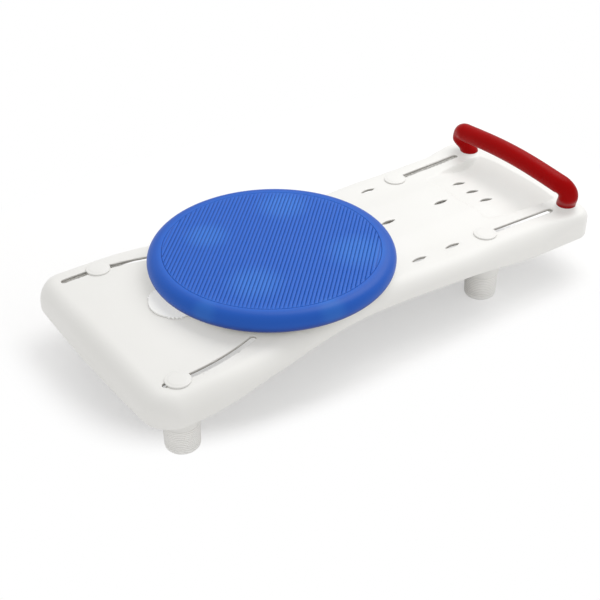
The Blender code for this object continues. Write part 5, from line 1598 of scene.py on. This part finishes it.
@dataclass
class Studio:
    """Camera where the photograph was taken from, white floor, soft plain light."""

    azimuth_degrees: float = -34.90567
    elevation_degrees: float = 34.46225
    roll_degrees: float = -0.30708
    camera_place: tuple[float, float, float] = (-0.8128, -1.0929, 0.9440)
    focal_share: float = 1.9563
    sensor_mm: float = 36.0
    floor_size: float = 12.0
    shadow_centre: tuple[float, float] = (0.096, 0.174)
    shadow_reach: tuple[float, float] = (0.536, 0.372)
    shadow_start: float = 0.875
    shadow_lift: float = 0.42
    world_strength: float = 0.76
    key_watts: float = 19.0
    key_size: tuple[float, float] = (1.6, 1.6)
    key_place: tuple[float, float, float] = (1.05, 0.35, 1.75)
    key_aim: tuple[float, float, float] = (0.10, 0.0, 0.10)

    def camera(self) -> None:
        """Set the camera from its direction: back along it lies the lens's axis."""
        azimuth = math.radians(self.azimuth_degrees)
        elevation = math.radians(self.elevation_degrees)
        forward = Vector(
            (
                -math.sin(azimuth) * math.cos(elevation),
                math.cos(azimuth) * math.cos(elevation),
                -math.sin(elevation),
            )
        )
        right = forward.cross(Vector((0.0, 0.0, 1.0))).normalized()
        up = right.cross(forward)
        roll = math.radians(self.roll_degrees)
        right, up = (
            right * math.cos(roll) + up * math.sin(roll),
            up * math.cos(roll) - right * math.sin(roll),
        )
        lens = bpy.data.cameras.new("camera")
        lens.sensor_width = self.sensor_mm
        lens.lens = self.focal_share * self.sensor_mm
        lens.clip_end = 50.0
        camera = bpy.data.objects.new("camera", lens)
        turn = Matrix((right, up, -forward)).transposed().to_4x4()
        camera.matrix_world = Matrix.Translation(self.camera_place) @ turn
        bpy.context.scene.collection.objects.link(camera)
        bpy.context.scene.camera = camera

    def floor(self) -> None:
        """Lay the white floor that takes the shadow."""
        half = self.floor_size / 2
        corners = [(-half, -half, 0.0), (half, -half, 0.0), (half, half, 0.0), (-half, half, 0.0)]
        mesh = bpy.data.meshes.new("floor")
        mesh.from_pydata(corners, [], [[0, 1, 2, 3]])
        item = bpy.data.objects.new("floor", mesh)
        item.location.z = -0.1 * MM
        bpy.context.scene.collection.objects.link(item)
        material, output = empty_material("white_studio_paper")
        shader = add_node(
            material,
            "ShaderNodeBsdfDiffuse",
            {"Color": (0.98, 0.975, 0.97, 1.0)},
        )
        white = add_node(material, "ShaderNodeEmission", {"Color": (1.0, 1.0, 1.0, 1.0)})
        mix = add_node(
            material,
            "ShaderNodeMixShader",
            {},
            i0=self.white_share(material),
            i1=shader.outputs["BSDF"],
            i2=white.outputs["Emission"],
        )
        material.node_tree.links.new(mix.outputs["Shader"], output.inputs["Surface"])
        mesh.materials.append(material)

    def white_share(self, material: bpy.types.Material) -> bpy.types.NodeSocket:
        """Share of plain white in the paper as it is seen, which lifts the shadow.

        It grows from the object outwards, so that the shadow fades into white paper.

        Args:
            material: The paper's material.

        Returns:
            The socket of the share.
        """
        paths = add_node(material, "ShaderNodeLightPath", {})
        seen = paths.outputs["Is Camera Ray"]
        for name in ("Is Glossy Ray", "Is Transmission Ray"):
            seen = add_node(
                material, "ShaderNodeMath", {"operation": "MAXIMUM"}, i0=seen, i1=paths.outputs[name]
            ).outputs["Value"]
        place = add_node(material, "ShaderNodeTexCoord", {}).outputs["Object"]
        centred = add_node(
            material,
            "ShaderNodeVectorMath",
            {"operation": "SUBTRACT", 1: (*self.shadow_centre, 0.0)},
            i0=place,
        ).outputs["Vector"]
        scaled = add_node(
            material,
            "ShaderNodeVectorMath",
            {"operation": "DIVIDE", 1: (*self.shadow_reach, 1.0)},
            i0=centred,
        ).outputs["Vector"]
        squared = add_node(
            material, "ShaderNodeVectorMath", {"operation": "MULTIPLY"}, i0=scaled, i1=scaled
        ).outputs["Vector"]
        length = add_node(
            material, "ShaderNodeVectorMath", {"operation": "LENGTH"}, i0=squared
        ).outputs["Value"]
        away = add_node(
            material, "ShaderNodeMath", {"operation": "SQRT"}, i0=length
        ).outputs["Value"]
        share = add_node(
            material,
            "ShaderNodeMapRange",
            {
                "interpolation_type": "SMOOTHSTEP",
                "From Min": self.shadow_start,
                "From Max": 1.0,
                "To Min": self.shadow_lift,
                "To Max": 1.0,
            },
            Value=away,
        ).outputs["Result"]
        return add_node(
            material, "ShaderNodeMath", {"operation": "MULTIPLY"}, i0=seen, i1=share
        ).outputs["Value"]

    def light(self) -> None:
        """Even light from all round, with one soft box behind the handle's end."""
        world = bpy.data.worlds.new("studio_world")
        world.use_nodes = True
        world.node_tree.nodes.clear()
        paths = add_node(world, "ShaderNodeLightPath", {})
        seen = add_node(
            world,
            "ShaderNodeMath",
            {"operation": "MAXIMUM"},
            i0=paths.outputs["Is Camera Ray"],
            i1=paths.outputs["Is Transmission Ray"],
        )
        strength = add_node(
            world,
            "ShaderNodeMapRange",
            {"To Min": self.world_strength, "To Max": 1.0},
            Value=seen.outputs["Value"],
        )
        background = add_node(
            world,
            "ShaderNodeBackground",
            {"Color": (1.0, 1.0, 1.0, 1.0)},
            Strength=strength.outputs["Result"],
        )
        output = add_node(world, "ShaderNodeOutputWorld", {})
        world.node_tree.links.new(background.outputs["Background"], output.inputs["Surface"])
        bpy.context.scene.world = world
        lamp = bpy.data.lights.new("soft_box", "AREA")
        lamp.shape = "RECTANGLE"
        lamp.size, lamp.size_y = self.key_size
        lamp.energy = self.key_watts
        key = bpy.data.objects.new("soft_box", lamp)
        key.location = self.key_place
        towards = Vector(self.key_place) - Vector(self.key_aim)
        key.rotation_euler = towards.to_track_quat("Z", "Y").to_euler()
        bpy.context.scene.collection.objects.link(key)

    def build(self) -> None:
        """Set up the camera, the floor, the light and the view."""
        self.camera()
        self.floor()
        self.light()
        bpy.context.scene.view_settings.view_transform = "Standard"


# Moulded polypropylene: matt warm white with a soft, broad sheen.
WHITE_POLYPROPYLENE = MouldedPlastic("moulded_polypropylene_white", "EEEDEA", "EAE9E5", 0.45)
# The same plastic, a little smoother, in a brighter white: painted light on the lock tongue.
LIT_TONGUE_POLYPROPYLENE = MouldedPlastic("moulded_polypropylene_tongue_lit", "FCFCFB", "FAFAF8", 0.36)
# Skinned foam: an even satin blue, with painted shade in the grooves and on the rim, paler round patches
# on its top, and painted highlights on the rim.
BLUE_FOAM = FoamSkin(
    "skinned_foam_blue",
    "1C62C9",
    "0A328A",
    "2C72D2",
    0.42,
    pale_patches_and_rim_highlights=(
        (-23 * MM, 80 * MM, 48 * MM),
        (-10 * MM, -73 * MM, 52 * MM),
        (-160 * MM, -59 * MM, 48 * MM),
        (-150 * MM, 72 * MM, 40 * MM),
        # These two spots lie on the rim: painted highlights.
        (-241 * MM, -68 * MM, 22 * MM),
        (-112 * MM, -158 * MM, 24 * MM),
    ),
)
# Moulded ABS: saturated red with a faint, soft sheen.
RED_PLASTIC = MouldedPlastic("moulded_abs_red", "A00002", "960001", 0.34, specular=0.07)
# Moulded rubber: chalky off-white with hardly a highlight.
PALE_RUBBER = MouldedPlastic("moulded_rubber_pale", "FBFAF7", "F8F7F4", 0.6, ior=1.52)
# Machined acetal: milky, smooth and a little waxy.
ACETAL = MouldedPlastic("machined_acetal", "EDECE6", "E8E7E0", 0.3, ior=1.48)
# Turned stainless steel: grey, with highlights drawn out along its marks.
STEEL = TurnedSteel("turned_stainless_steel", "C9C8C6", 0.3)


def dress_model_nodes(finishes: dict[SlotName, bpy.types.Material]) -> None:
    """Give every node of the model that stays in view the finish of its slot.

    Args:
        finishes: The material of each slot.
    """
    by_node = {entry["node"]: entry["material_slot"] for entry in frame["record"]["subparts"]}
    for name, item in frame["nodes"].items():
        finish = finishes[SlotName(by_node[name])]
        for slot in item.material_slots:
            slot.material = finish


def main() -> None:
    """Build every piece in order."""
    logging.basicConfig(level=logging.INFO, format="%(message)s")
    white = WHITE_POLYPROPYLENE.build()
    lit_tongue_white = LIT_TONGUE_POLYPROPYLENE.build()
    blue = BLUE_FOAM.build()
    red = RED_PLASTIC.build()
    rubber = PALE_RUBBER.build()
    finishes = {
        SlotName.WHITE: white,
        SlotName.BLUE: blue,
        SlotName.RED: red,
        SlotName.RUBBER: rubber,
        SlotName.ACETAL: ACETAL.build(),
        SlotName.STEEL: STEEL.build(),
    }
    dress_model_nodes(finishes)
    # The lock tongue takes the brighter white, which is painted light.
    for slot in frame["nodes"]["lock_tongue"].material_slots:
        slot.material = lit_tongue_white
    Board().dress(white)
    SeatCover().dress(blue)
    Handle().dress(red)
    for name in FootName:
        Foot(name).dress(white, rubber)
    Studio().build()


if __name__ == "__main__":
    main()
